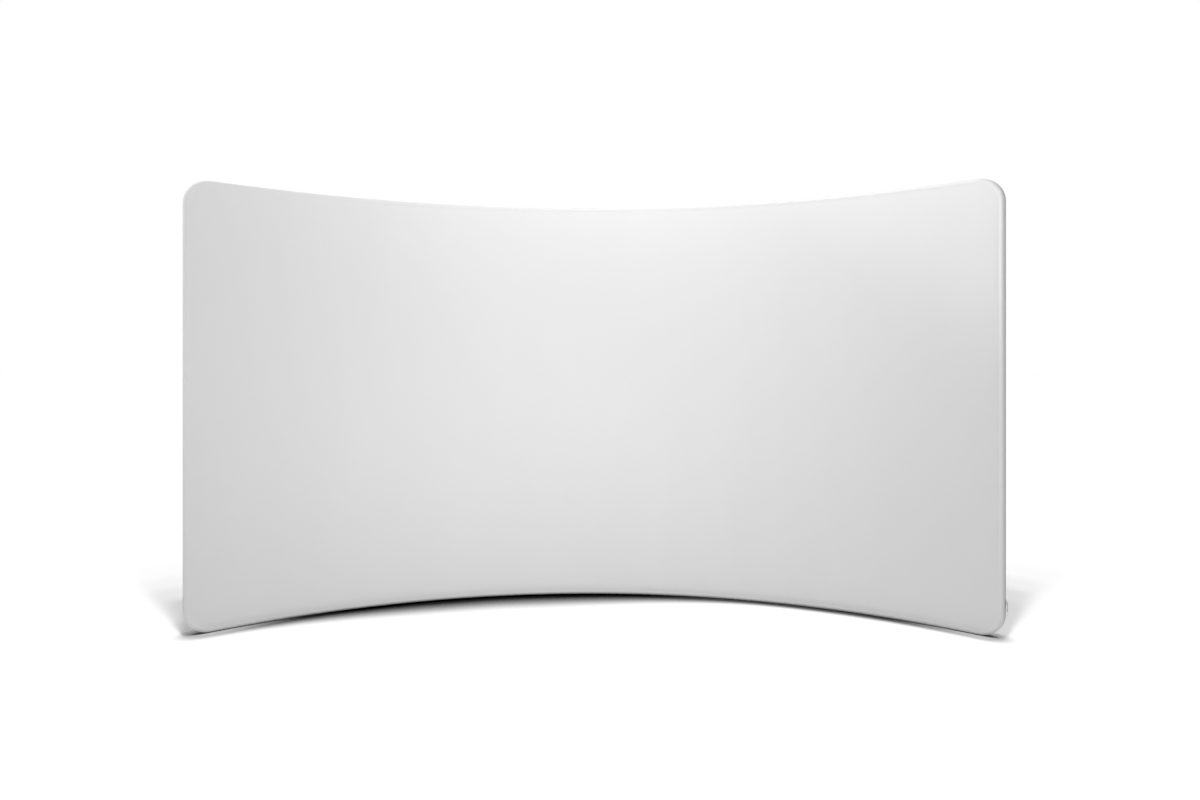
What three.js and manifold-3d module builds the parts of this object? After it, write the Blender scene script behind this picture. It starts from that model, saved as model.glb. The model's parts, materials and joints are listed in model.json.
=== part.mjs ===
// A curved display wall: a rounded-corner frame of plug-together tubes inside a zipped
// pillowcase of stretch cloth. Millimetres, +Z up. The wall stands on z = 0 with its hollow side
// towards -Y, and the origin is on the floor under the middle of its outer box.

import * as THREE from 'three';
import { mergeGeometries, mergeVertices } from 'three/addons/utils/BufferGeometryUtils.js';
import Module from 'manifold-3d';

// ---- Driving sizes --------------------------------------------------------------------------

const height = 2300; // floor to top edge
const length = 4500; // end to end, measured round the curve
const curveRadius = 3000; // of the wall's middle surface, seen from above
const cornerRadius = 130; // outside of the rounded corners
const gap = 0.3; // between neighbouring pieces

const tube = { radius: 16, bore: 14.5 };
const spigot = { radius: 14.2, bore: 12.7, length: 70, shoulder: 8 }; // the reduced tube end
const button = { radius: 3, proud: 2.5, fromJoint: 35, clipWidth: 8, clipThickness: 0.8 };
const cloth = { thickness: 0.8, frontBow: 60, backDip: 20, flatBorder: 40 };
const zip = { halfWidth: 3.6, top: 200, sliderHeight: 184 };
const poleRun = 700; // of each upright pole from the middle

const railJoints = [-2000, -1000, 0, 1000, 2000]; // along the curve, top and bottom
const uprightJoints = [250, 871, 2044]; // above the floor
const poleJoint = 871;
const railFacet = 200; // the curved rails are straight for this length at a time

const tubeSides = 12;
const cornerSteps = 6;
const clothRows = [0, 0.03, 0.16, 0.33, 0.5, 0.67, 0.84, 0.97, 1]; // of the height of each column

// ---- Derived sizes --------------------------------------------------------------------------

const clothRadius = tube.radius + gap + cloth.thickness; // outer face of the cloth round a tube
const halfSide = Math.PI / tubeSides;
const flatToCorner = 1 / Math.cos(halfSide); // from a facet's radius to its corner's
const halfRun = length / 2 - clothRadius; // of an upright's axis, round the curve
const bend = cornerRadius - clothRadius; // of a corner, to the tube's axis
const straightRun = halfRun - bend;
const lowAxis = clothRadius;
const highAxis = height - clothRadius;
const lowCorner = lowAxis + bend;
const highCorner = highAxis - bend;
const frontmost = (curveRadius - clothRadius) * Math.cos(length / 2 / curveRadius);
const depthCentre = (curveRadius + clothRadius + frontmost) / 2;

// ---- The curve ------------------------------------------------------------------------------

const lerp = THREE.MathUtils.lerp;

const railRuns = [];
for (let run = railJoints[0]; run <= railJoints.at(-1); run += railFacet) railRuns.push(run);

const curveStops = [-length / 2, -straightRun, ...railRuns, straightRun, length / 2];

// A point on the true curve: run is measured round it, fore towards the hollow side.
function onCurve(run, fore) {
  const angle = run / curveRadius;
  const radius = curveRadius - fore;
  return { x: radius * Math.sin(angle), y: radius * Math.cos(angle) - depthCentre };
}

// The same point on the faceted curve, which every piece shares, so that none cuts another.
function curved(run, fore, z) {
  const after = curveStops.findIndex((stop) => stop > run);
  const k = THREE.MathUtils.clamp(after < 0 ? curveStops.length : after, 1, curveStops.length - 1);
  const share = (run - curveStops[k - 1]) / (curveStops[k] - curveStops[k - 1]);
  const from = onCurve(curveStops[k - 1], fore);
  const to = onCurve(curveStops[k], fore);
  return new THREE.Vector3(lerp(from.x, to.x, share), lerp(from.y, to.y, share), z);
}

// ---- The outline: the frame's axis, once round, clockwise as seen from the hollow side ---------

// lean is the angle of the outward direction, from straight up towards the right.
function cornerStops(side) {
  const stops = [];
  for (let k = 0; k <= cornerSteps; k += 1) {
    const turn = side < 0 ? k - cornerSteps : k;
    const lean = (turn / cornerSteps) * (Math.PI / 2);
    const run = side * straightRun + bend * Math.sin(lean);
    stops.push({ run, z: highCorner + bend * Math.cos(lean), lean });
  }
  return stops;
}

const topEdge = [
  ...cornerStops(-1),
  ...railRuns.map((run) => ({ run, z: highAxis, lean: 0 })),
  ...cornerStops(1),
];
const bottomEdge = topEdge.map(({ run, z, lean }) => ({ run, z: height - z, lean: Math.PI - lean }));

const outline = [];
for (const stop of [...topEdge, ...bottomEdge.toReversed(), topEdge[0]]) {
  const last = outline.at(-1);
  const step = last ? Math.hypot(stop.run - last.run, stop.z - last.z) : 0;
  outline.push({ ...stop, along: last ? last.along + step : 0 });
}
const lap = outline.at(-1).along;

const alongTop = (run) => outline[cornerSteps].along + straightRun + run;
const alongRight = (z) => outline[topEdge.length - 1].along + highCorner - z;
const alongBottom = (run) => outline[topEdge.length + cornerSteps].along + straightRun - run;
const alongLeft = (z) => lap - (highCorner - z);

// A point beside the frame's axis: outward in the wall's surface, fore towards the hollow side.
function beside(along, outward, fore) {
  const place = THREE.MathUtils.euclideanModulo(along, lap);
  const k = Math.max(outline.findIndex((stop) => stop.along > place), 1);
  const from = outline[k - 1];
  const to = outline[k];
  const share = (place - from.along) / (to.along - from.along);
  const run = lerp(from.run + outward * Math.sin(from.lean), to.run + outward * Math.sin(to.lean), share);
  const z = lerp(from.z + outward * Math.cos(from.lean), to.z + outward * Math.cos(to.lean), share);
  return curved(run, fore, z);
}

// The places along the outline where a piece from start to end has to turn, with both its ends.
function turns(start, end) {
  const stops = [...outline, ...outline.map((stop) => ({ along: stop.along + lap }))];
  const between = stops.map((stop) => stop.along).filter((at) => at > start + gap && at < end - gap);
  return [start, ...new Set(between), end];
}

// ---- Solids ---------------------------------------------------------------------------------

const wasm = await Module();
wasm.setup();

function welded(geometry) {
  const bare = geometry.clone();
  bare.deleteAttribute('normal');
  bare.deleteAttribute('uv');
  return mergeVertices(bare);
}

function solid(geometry) {
  const { attributes, index } = welded(geometry);
  const vertProperties = Float32Array.from(attributes.position.array);
  return new wasm.Manifold(new wasm.Mesh({ numProp: 3, vertProperties, triVerts: Uint32Array.from(index.array) }));
}

function geometryOf(manifold) {
  const { vertProperties, triVerts } = manifold.getMesh();
  const geometry = new THREE.BufferGeometry();
  geometry.setAttribute('position', new THREE.BufferAttribute(vertProperties, 3));
  geometry.setIndex(new THREE.BufferAttribute(triVerts, 1));
  return geometry;
}

// Moves every corner of a shape; place gets its x, y and z, and returns a vector.
function shaped(geometry, place) {
  const corners = geometry.getAttribute('position');
  for (let k = 0; k < corners.count; k += 1) {
    corners.setXYZ(k, ...place(corners.getX(k), corners.getY(k), corners.getZ(k)));
  }
  return geometry;
}

// Lays a straight piece round the outline: x is fore, y runs along from start, z is outward.
const laid = (geometry, start) => shaped(geometry, (x, y, z) => beside(start + y, z, x));

// A round rod along Y between two heights, flat faces to front and back.
function rod(radius, from, to, sides = tubeSides) {
  const geometry = new THREE.CylinderGeometry(
    radius / Math.cos(Math.PI / sides), radius / Math.cos(Math.PI / sides), to - from,
    sides, 1, false, Math.PI / sides,
  );
  return geometry.translate(0, (from + to) / 2, 0);
}

// A bar of rectangular section laid round the outline.
function strip(start, end, { foreFrom, foreTo, outFrom, outTo }) {
  const stops = turns(start, end);
  const steps = stops.length - 1;
  const bar = new THREE.BoxGeometry(foreTo - foreFrom, steps, outTo - outFrom, 1, steps, 1);
  bar.translate((foreFrom + foreTo) / 2, steps / 2, (outFrom + outTo) / 2);
  return shaped(bar, (x, y, z) => beside(stops[Math.round(y)], z, x));
}

// ---- Tubes ----------------------------------------------------------------------------------

// A round hole through a tube's wall, on the frame's inner side.
const innerHole = (radius, at) => solid(
  rod(radius, 0, tube.radius + 4, 8).rotateX(-Math.PI / 2).translate(0, at, 0),
);

// A tube's wall turned round Y from its bore and outside, with a reduced end where it is a male.
// Its length along Y runs through stops, which start at 0; past the last one lies the spigot.
function tubeSolid(stops, spigotStops, { holes = [] }) {
  const end = stops.at(-1);
  const neck = end - spigot.shoulder;
  const ring = (radius, places) => places.map((y) => new THREE.Vector2(radius * flatToCorner, y));
  const profile = ring(tube.radius, stops);
  if (spigotStops.length > 0) {
    profile.push(...ring(spigot.radius, [end, ...spigotStops]));
    profile.push(...ring(spigot.bore, [neck, ...spigotStops].toReversed()));
    profile.push(...ring(tube.bore, [...stops.slice(0, -1), neck].toReversed()));
  } else {
    profile.push(...ring(tube.bore, stops.toReversed()));
  }
  profile.push(profile[0].clone());
  const wall = solid(new THREE.LatheGeometry(profile, tubeSides, halfSide));
  return holes.reduce((left, at) => left.subtract(innerHole(button.radius + gap, at)), wall);
}

// One length of the frame, from joint to joint round the outline.
function frameTube(start, end) {
  const from = start + gap / 2;
  const to = end - gap / 2;
  const stops = turns(from, to).map((along) => along - from);
  const spigotStops = turns(to, end + spigot.length).slice(1).map((along) => along - from);
  const holes = [start + button.fromJoint - from, end + button.fromJoint - from];
  return { wall: tubeSolid(stops, spigotStops, { holes }), from };
}

// ---- Snap buttons ---------------------------------------------------------------------------

// A domed button on a V-shaped spring clip, ready to push out through both tubes' holes.
function buttonGeometry() {
  const clipOut = 11.2; // the clip's upper leg, from the tube's axis
  const top = tube.radius + button.proud;
  const dome = 1.2;
  const profile = [new THREE.Vector2(0, clipOut), new THREE.Vector2(button.radius, clipOut)];
  for (const turn of [0, 0.5]) {
    const angle = turn * (Math.PI / 2);
    profile.push(new THREE.Vector2(
      button.radius - dome + dome * Math.cos(angle),
      top - dome + dome * Math.sin(angle),
    ));
  }
  profile.push(new THREE.Vector2(button.radius - dome, top), new THREE.Vector2(0, top));
  const stem = new THREE.LatheGeometry(profile, 8, Math.PI / 8);
  stem.rotateX(-Math.PI / 2);

  const legEnd = 7;
  const heel = -22; // where the clip doubles back
  const farLeg = 4; // the far leg's tip, past the axis
  const t = button.clipThickness;
  const slope = (farLeg + clipOut - t) / (legEnd - heel + t);
  const clip = new THREE.Shape();
  clip.moveTo(legEnd, -clipOut - t / 2);
  clip.lineTo(heel, -clipOut - t / 2);
  clip.lineTo(heel - t, -clipOut + t);
  clip.lineTo(legEnd, farLeg);
  clip.lineTo(legEnd, farLeg - t);
  clip.lineTo(legEnd - (farLeg + clipOut - 1.5 * t) / slope, -clipOut + t / 2);
  clip.lineTo(legEnd, -clipOut + t / 2);
  const leaf = new THREE.ExtrudeGeometry(clip, { depth: button.clipWidth, bevelEnabled: false });
  leaf.translate(0, 0, -button.clipWidth / 2);
  leaf.applyMatrix4(new THREE.Matrix4().makeBasis(
    new THREE.Vector3(0, 1, 0), new THREE.Vector3(0, 0, 1), new THREE.Vector3(1, 0, 0),
  ));
  return geometryOf(solid(stem).add(solid(leaf)));
}

// ---- Poles ----------------------------------------------------------------------------------

// The plastic end of a pole: a plug for its bore, a seat astride the rail, and a dowel that goes
// through the rail's inner wall. y is measured from the rail's axis, and the rail runs along z.
const saddle = { seat: 9, collarTop: 36, plugTop: 70, dowelRadius: 4, dowelTip: 8.5 };

function saddleGeometry() {
  const collar = solid(rod(tube.radius, saddle.seat, saddle.collarTop));
  const plug = solid(rod(tube.bore - gap, saddle.collarTop - 1, saddle.plugTop));
  const dowel = solid(rod(saddle.dowelRadius, saddle.dowelTip, saddle.collarTop - 1, 8));
  const rail = solid(rod(tube.radius + gap, -2 * tube.radius, 2 * tube.radius).rotateX(Math.PI / 2));
  return geometryOf(collar.add(plug).subtract(rail).add(dowel));
}

const dowelHole = (at) => innerHole(saddle.dowelRadius + gap, at);

// ---- Cover ----------------------------------------------------------------------------------

// How far the cloth is drawn towards the hollow side: taut cloth on a curve flattens in mid-height.
function drawn(run, z, side) {
  const border = lowAxis + cloth.flatBorder;
  const rise = 1 - ((z - height / 2) / (height / 2 - border)) ** 2;
  const reach = halfRun - cloth.flatBorder;
  if (rise <= 0 || Math.abs(run) >= reach) return 0;
  if (side > 0) return cloth.frontBow * rise * (1 - (run / reach) ** 4);
  const near = poleRun - railFacet / 2;
  const far = poleRun + railFacet / 2;
  const bays = [[-reach, -far], [-near, near], [far, reach]];
  const bay = bays.find(([from, to]) => run > from && run < to);
  if (!bay) return 0;
  const across = (2 * run - bay[0] - bay[1]) / (bay[1] - bay[0]);
  return cloth.backDip * rise * (1 - across ** 2);
}

// The same faces, looking the other way.
function turnedOver(geometry) {
  const { array } = geometry.index;
  for (let k = 0; k < array.length; k += 3) [array[k], array[k + 1]] = [array[k + 1], array[k]];
  return geometry;
}

// A sheet of quads whose corners are placed one by one.
function net(across, down, place) {
  const grid = new THREE.PlaneGeometry(1, 1, across, down);
  const corners = grid.getAttribute('position');
  for (let row = 0, k = 0; row <= down; row += 1) {
    for (let column = 0; column <= across; column += 1, k += 1) {
      corners.setXYZ(k, ...place(column, row));
    }
  }
  return grid;
}

// One half of the cover: a flat field, turned over the frame all round as far as the seam.
// side is 1 for the front, on the hollow side, and -1 for the back.
function panelSolid(side) {
  const columns = topEdge.length - 1;
  const rows = clothRows.length - 1;
  const turned = (k, last) => (side > 0 ? k : last - k);

  const field = (radius) => (column, share) => {
    const edge = radius * Math.tan(halfSide);
    const { run, z, lean } = topEdge[column];
    const top = z + edge * Math.cos(lean);
    const at = run + edge * Math.sin(lean);
    const level = lerp(height - top, top, share);
    return curved(at, side * radius + drawn(at, level, side), level);
  };
  const outer = field(clothRadius);
  const inner = field(clothRadius - cloth.thickness);

  const roundTube = [5, 3, 1].map((k) => k * halfSide); // the corners of the cloth over the tube
  const layer = (radius) => [
    ...roundTube.map((angle) => ({
      outward: radius * flatToCorner * Math.cos(angle),
      fore: side * radius * flatToCorner * Math.sin(angle),
    })),
    { outward: radius, fore: (side * gap) / 2 },
  ];
  const hem = [...layer(clothRadius), ...layer(clothRadius - cloth.thickness).toReversed()];

  const sideLevels = clothRows.slice(1, -1).map((share) => lerp(lowCorner, highCorner, share));
  const hemStops = [
    ...outline.map((stop) => stop.along), ...sideLevels.map(alongRight), ...sideLevels.map(alongLeft),
  ].sort((a, b) => a - b);
  const laps = hemStops.length - 1;
  return solid(mergeGeometries([
    net(columns, rows, (c, r) => outer(turned(c, columns), clothRows[rows - r])),
    turnedOver(net(columns, rows, (c, r) => inner(turned(c, columns), clothRows[rows - r]))),
    net(laps, hem.length - 1, (c, r) => {
      const { outward, fore } = hem[hem.length - 1 - r];
      return beside(hemStops[turned(c, laps)], outward, fore);
    }),
  ]));
}

// ---- Zip ------------------------------------------------------------------------------------

const zipStart = alongRight(zip.top);
const zipEnd = alongLeft(zip.top);
const tapeSection = { foreFrom: gap / 2, foreTo: zip.halfWidth, outFrom: tube.radius + gap, outTo: clothRadius };

// A closed slider: a plate with a narrow heel, and a bridge that the pull hangs from.
const sliderPlate = { from: clothRadius + gap, thickness: 2.2, halfLength: 8.5, halfWidth: 5, heel: 3.4 };
const pull = { out: clothRadius + 7.2, thickness: 1.4, width: 8, length: 46, bar: 1.1 };
const pullWindow = { halfWidth: 2.2, to: 10 };
const bridge = { width: 2.6, halfLength: 5.5, leg: 1.5, under: pull.out + 1.4, thickness: 1.2 };

function outlineBox(foreWidth, alongFrom, alongTo, outFrom, outTo) {
  const box = new THREE.BoxGeometry(foreWidth, alongTo - alongFrom, outTo - outFrom);
  return solid(box.translate(0, (alongFrom + alongTo) / 2, (outFrom + outTo) / 2));
}

function sliderGeometry() {
  const { from, thickness, halfLength, halfWidth, heel } = sliderPlate;
  const plan = new THREE.Shape();
  plan.moveTo(-halfWidth, -halfLength);
  plan.lineTo(halfWidth, -halfLength);
  plan.lineTo(halfWidth, 0);
  plan.lineTo(heel, halfLength);
  plan.lineTo(-heel, halfLength);
  plan.lineTo(-halfWidth, 0);
  const plate = new THREE.ExtrudeGeometry(plan, { depth: thickness, bevelEnabled: false });
  plate.translate(0, 0, from);
  const end = bridge.halfLength;
  const opening = end - bridge.leg;
  const arch = outlineBox(bridge.width, -end, end, from, bridge.under + bridge.thickness);
  const window = outlineBox(2 * bridge.width, -opening, opening, from + thickness, bridge.under);
  return geometryOf(solid(plate).add(arch.subtract(window)));
}

// A thin tab whose window goes round the slider's bridge; its bar, at y = 0, is what it turns on.
function pullGeometry() {
  const half = pull.width / 2;
  const tail = pull.length - pull.bar;
  const plan = new THREE.Shape();
  plan.moveTo(-half, -pull.bar);
  plan.lineTo(half, -pull.bar);
  plan.lineTo(half, tail - half);
  plan.absarc(0, tail - half, half, 0, Math.PI, false);
  plan.lineTo(-half, -pull.bar);
  const window = new THREE.Path();
  window.moveTo(-pullWindow.halfWidth, pull.bar);
  window.lineTo(-pullWindow.halfWidth, pullWindow.to);
  window.lineTo(pullWindow.halfWidth, pullWindow.to);
  window.lineTo(pullWindow.halfWidth, pull.bar);
  window.lineTo(-pullWindow.halfWidth, pull.bar);
  plan.holes.push(window);
  const flat = { depth: pull.thickness, bevelEnabled: false, curveSegments: 5 };
  const tab = new THREE.ExtrudeGeometry(plan, flat);
  return tab.translate(0, 0, -pull.thickness / 2);
}

// ---- The wall -------------------------------------------------------------------------------

const aluminium = { color: 0xb9bcbf, roughness: 0.38, metalness: 0.9 };
const steel = { color: 0xc9ccce, roughness: 0.3, metalness: 1 };
const greyPlastic = { color: 0x55585b, roughness: 0.6, metalness: 0 };
const whiteCloth = { color: 0xdfdfdf, roughness: 0.92, metalness: 0 };
const whiteTape = { color: 0xd2d2d2, roughness: 0.8, metalness: 0 };
const zincNickel = { color: 0xa8a9aa, roughness: 0.35, metalness: 0.9 };

const displayWall = new THREE.Group();

function piece(name, geometry, material, home = displayWall) {
  const mesh = new THREE.Mesh(geometry, new THREE.MeshStandardMaterial(material));
  mesh.name = name;
  home.add(mesh);
  return mesh;
}

// A group with x fore, y along the outline and z outward, its origin beside the frame's axis.
function stand(along, outward = 0) {
  const group = new THREE.Group();
  const origin = beside(along, outward, 0);
  const ahead = beside(along + 1, outward, 0).sub(origin).normalize();
  const out = beside(along, outward + 1, 0).sub(origin);
  const fore = new THREE.Vector3().crossVectors(ahead, out).normalize();
  out.crossVectors(fore, ahead);
  group.position.copy(origin);
  group.quaternion.setFromRotationMatrix(new THREE.Matrix4().makeBasis(fore, ahead, out));
  displayWall.add(group);
  return group;
}

// Names of the frame's lengths and of its joints, clockwise; each length starts at its own joint.
const joints = [
  ...railJoints.map((run, k) => ({ name: `top_${k + 1}`, along: alongTop(run) })),
  ...uprightJoints.toReversed().map((z, k) => ({ name: `right_${3 - k}`, along: alongRight(z) })),
  ...railJoints.toReversed().map((run, k) => ({ name: `bottom_${5 - k}`, along: alongBottom(run) })),
  ...uprightJoints.map((z, k) => ({ name: `left_${k + 1}`, along: alongLeft(z) })),
];
const lengthNames = [
  'top_rail_1', 'top_rail_2', 'top_rail_3', 'top_rail_4', 'top_right_corner',
  'right_upright_upper', 'right_upright_lower', 'bottom_right_corner',
  'bottom_rail_4', 'bottom_rail_3', 'bottom_rail_2', 'bottom_rail_1', 'bottom_left_corner',
  'left_upright_lower', 'left_upright_upper', 'top_left_corner',
];

const dowelPlaces = [-poleRun, poleRun].flatMap((run) => [alongTop(run), alongBottom(run)]);
const clip = buttonGeometry();

joints.forEach((joint, k) => {
  const next = joints[(k + 1) % joints.length];
  const end = next.along > joint.along ? next.along : next.along + lap;
  const { wall, from } = frameTube(joint.along, end);
  const drilled = dowelPlaces
    .filter((at) => at > joint.along && at < end)
    .reduce((left, at) => left.subtract(dowelHole(at - from)), wall);
  piece(lengthNames[k], laid(geometryOf(drilled), from), aluminium);
  piece(`snap_button_${joint.name}`, clip, steel, stand(joint.along + button.fromJoint));
});

// Two poles brace the rails apart inside the cover, each in two lengths between plastic saddles.
// y is up a pole, from the bottom rail's axis.
const seat = saddleGeometry();
for (const [name, run] of [['left', -poleRun], ['right', poleRun]]) {
  const pole = stand(alongBottom(run)).rotateX(-Math.PI / 2);
  piece(`${name}_pole_bottom_saddle`, seat, greyPlastic, pole);
  const topSaddle = piece(`${name}_pole_top_saddle`, seat, greyPlastic, pole);
  topSaddle.position.y = highAxis - lowAxis;
  topSaddle.rotateX(Math.PI);

  const foot = saddle.collarTop + gap;
  const split = poleJoint - lowAxis;
  const head = highAxis - lowAxis - foot;
  const male = { holes: [split + button.fromJoint - foot] };
  const lower = tubeSolid([0, split - gap / 2 - foot], [split + spigot.length - foot], male);
  piece(`${name}_pole_lower`, geometryOf(lower), aluminium, pole).position.y = foot;
  const female = { holes: [button.fromJoint - gap / 2] };
  const upper = tubeSolid([0, head - split - gap / 2], [], female);
  piece(`${name}_pole_upper`, geometryOf(upper), aluminium, pole).position.y = split + gap / 2;
  piece(`snap_button_${name}_pole`, clip, steel, pole).position.y = split + button.fromJoint;
}

// The cover, with a slot along its seam for the zip.
const zipSlot = solid(strip(zipStart - gap, zipEnd + gap, {
  foreFrom: -zip.halfWidth - gap, foreTo: zip.halfWidth + gap,
  outFrom: tube.radius - 1, outTo: clothRadius + 1,
}));
piece('cover_front', geometryOf(panelSolid(1).subtract(zipSlot)), whiteCloth);
piece('cover_back', geometryOf(panelSolid(-1).subtract(zipSlot)), whiteCloth);
piece('zip_tape_front', strip(zipStart, zipEnd, tapeSection), whiteTape);
piece('zip_tape_back', strip(zipStart, zipEnd, {
  ...tapeSection, foreFrom: -tapeSection.foreTo, foreTo: -tapeSection.foreFrom,
}), whiteTape);

const slider = stand(alongRight(zip.sliderHeight));
piece('zip_slider', sliderGeometry(), zincNickel, slider);
piece('zip_pull', pullGeometry(), zincNickel, slider).position.z = pull.out;

const stopSize = { length: 3, thickness: 1.1, belowTop: 3 };
const endStops = stand(alongRight(zip.top - stopSize.belowTop));
for (const [name, side] of [['front', 1], ['back', -1]]) {
  const width = zip.halfWidth - gap;
  const stop = new THREE.BoxGeometry(width, stopSize.length, stopSize.thickness);
  stop.translate(side * (width / 2 + gap / 2), 0, clothRadius + gap + stopSize.thickness / 2);
  piece(`zip_end_stop_${name}`, stop, zincNickel, endStops);
}
const startStop = new THREE.BoxGeometry(2 * zip.halfWidth, stopSize.length, stopSize.thickness);
startStop.translate(0, 0, clothRadius + gap + stopSize.thickness / 2);
piece('zip_start_stop', startStop, zincNickel, stand(alongLeft(zip.top - stopSize.belowTop)));

export default displayWall;
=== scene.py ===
"""The looks of a curved display wall: stretch cloth drawn over a frame of plug-together tubes.

Every piece is modelled on the flat wall first: x is the run round the curve, y the depth behind
the wall's middle surface and z the height, all in metres. The finished mesh is then bent round the
curve. The camera stands on the hollow side, towards -y.
"""

import json
import logging
import math
from collections.abc import Callable, Iterable, Iterator, Sequence
from contextlib import contextmanager
from dataclasses import dataclass
from enum import Enum

import bmesh
import bpy
import numpy as np
from mathutils import Matrix, Vector


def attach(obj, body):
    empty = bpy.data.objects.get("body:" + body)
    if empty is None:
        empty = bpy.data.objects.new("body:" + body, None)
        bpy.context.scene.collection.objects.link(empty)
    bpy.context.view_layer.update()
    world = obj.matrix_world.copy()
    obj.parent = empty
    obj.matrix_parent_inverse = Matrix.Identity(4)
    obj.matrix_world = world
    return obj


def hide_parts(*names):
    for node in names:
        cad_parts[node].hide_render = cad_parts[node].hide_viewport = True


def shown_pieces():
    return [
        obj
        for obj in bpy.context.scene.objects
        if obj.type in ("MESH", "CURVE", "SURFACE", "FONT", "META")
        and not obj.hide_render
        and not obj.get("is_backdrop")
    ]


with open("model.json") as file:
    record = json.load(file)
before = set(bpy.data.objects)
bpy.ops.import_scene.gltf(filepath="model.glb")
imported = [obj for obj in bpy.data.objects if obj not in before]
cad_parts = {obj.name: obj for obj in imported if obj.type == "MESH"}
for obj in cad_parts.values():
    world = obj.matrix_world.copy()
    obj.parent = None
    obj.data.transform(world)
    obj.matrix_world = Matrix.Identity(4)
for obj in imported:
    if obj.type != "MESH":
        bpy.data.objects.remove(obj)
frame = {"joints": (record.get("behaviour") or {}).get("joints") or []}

LOG = logging.getLogger("display_wall")
QUARTER = math.pi / 2
STILL_BODY = "frame_and_cover"

Piece = bpy.types.Object
Array = np.ndarray


# ---- The wall's sizes ---------------------------------------------------------------------------


@dataclass(frozen=True)
class Wall:
    """The wall's sizes in metres, the same as in the CAD source."""

    height: float = 2.3
    length: float = 4.5
    curve_radius: float = 3.0
    corner_radius: float = 0.13
    gap: float = 0.0003
    tube_radius: float = 0.016
    tube_wall: float = 0.0015
    spigot_radius: float = 0.0142
    spigot_length: float = 0.07
    button_from_joint: float = 0.035
    cloth_thickness: float = 0.0008
    front_bow: float = 0.060
    back_dip: float = 0.020
    pole_run: float = 0.7
    pole_joint: float = 0.871
    rail_joints: tuple[float, ...] = (-2.0, -1.0, 0.0, 1.0, 2.0)
    upright_joints: tuple[float, ...] = (0.25, 0.871, 2.044)
    zip_top: float = 0.2
    zip_half_width: float = 0.0036

    @property
    def cloth_radius(self) -> float:
        """The outer face of the cloth, from the axis of the tube that it goes round."""
        return self.tube_radius + self.gap + self.cloth_thickness

    @property
    def half_run(self) -> float:
        """The run of an upright's axis from the middle of the wall."""
        return self.length / 2 - self.cloth_radius

    @property
    def bend(self) -> float:
        """The radius of a corner's axis."""
        return self.corner_radius - self.cloth_radius

    @property
    def straight_run(self) -> float:
        """The run at which a rail turns into a corner."""
        return self.half_run - self.bend

    @property
    def middle(self) -> float:
        """The height of the wall's middle."""
        return self.height / 2

    @property
    def half_rise(self) -> float:
        """How far a rail's axis is above or below the wall's middle."""
        return self.middle - self.low_axis

    @property
    def straight_rise(self) -> float:
        """How far above the wall's middle an upright turns into a corner."""
        return self.high_corner - self.middle

    @property
    def low_axis(self) -> float:
        """The height of the bottom rail's axis."""
        return self.cloth_radius

    @property
    def high_axis(self) -> float:
        """The height of the top rail's axis."""
        return self.height - self.cloth_radius

    @property
    def low_corner(self) -> float:
        """The height at which an upright turns into a bottom corner."""
        return self.low_axis + self.bend

    @property
    def high_corner(self) -> float:
        """The height at which an upright turns into a top corner."""
        return self.high_axis - self.bend

    @property
    def depth_centre(self) -> float:
        """Works out where the middle of the wall's box is.

        Returns:
            Its distance from the centre of the curve.
        """
        inner = self.curve_radius - self.cloth_radius
        frontmost = inner * math.cos(self.length / 2 / self.curve_radius)
        return (self.curve_radius + self.cloth_radius + frontmost) / 2

    def bent(self, flat: Array) -> Array:
        """Bends points of the flat wall round its curve.

        Args:
            flat: Rows of run, depth and height.

        Returns:
            Rows of x, y and z in the row frame.
        """
        angle = flat[:, 0] / self.curve_radius
        radius = self.curve_radius + flat[:, 1]
        return np.column_stack([
            radius * np.sin(angle), radius * np.cos(angle) - self.depth_centre, flat[:, 2],
        ])


WALL = Wall()


# ---- Modelling steps ----------------------------------------------------------------------------


def assign(owner: object, values: dict[str, object]) -> None:
    """Sets several of a thing's values by their names."""
    for name, value in values.items():
        setattr(owner, name, value)


def focus(piece: Piece) -> None:
    """Makes a piece the only selected and active one.

    Args:
        piece: The piece.
    """
    bpy.ops.object.select_all(action="DESELECT")
    piece.select_set(True)
    bpy.context.view_layer.objects.active = piece


@contextmanager
def editing(piece: Piece, kind: str = "VERT", whole: bool = False) -> Iterator[None]:
    """Holds a piece in edit mode.

    Args:
        piece: The mesh object to edit.
        kind: What is selected there: VERT, EDGE or FACE.
        whole: Whether all of it is selected at first, or nothing.
    """
    focus(piece)
    bpy.ops.object.mode_set(mode="EDIT")
    bpy.ops.mesh.select_mode(type=kind)
    bpy.ops.mesh.select_all(action="SELECT" if whole else "DESELECT")
    yield
    bpy.ops.object.mode_set(mode="OBJECT")


def pick(piece: Piece, wanted: Callable[[Vector], bool], kind: str = "VERT") -> None:
    """Selects parts of a piece in edit mode by their place.

    Args:
        piece: The mesh object in edit mode.
        wanted: Says of a place whether the part there is selected.
        kind: VERT, EDGE or FACE; an edge or face counts by the middle of its corners.
    """
    mesh = bmesh.from_edit_mesh(piece.data)
    parts = {"VERT": mesh.verts, "EDGE": mesh.edges, "FACE": mesh.faces}[kind]
    for part in parts:
        corners = [part.co] if kind == "VERT" else [corner.co for corner in part.verts]
        part.select_set(wanted(sum(corners, Vector()) / len(corners)))
    mesh.select_flush(True)
    bmesh.update_edit_mesh(piece.data)


def started(name: str, add: Callable, **settings: object) -> Piece:
    """Adds a primitive with nothing else selected, and puts its place into its mesh.

    Args:
        name: The name of the new piece and of its mesh.
        add: The operator that adds the primitive.
        **settings: The operator's values.

    Returns:
        The piece, at the origin and unturned.
    """
    bpy.ops.object.select_all(action="DESELECT")
    add(**settings)
    piece = bpy.context.object
    piece.name = name
    piece.data.name = name
    bpy.ops.object.transform_apply(location=True, rotation=True, scale=True)
    return piece


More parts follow.
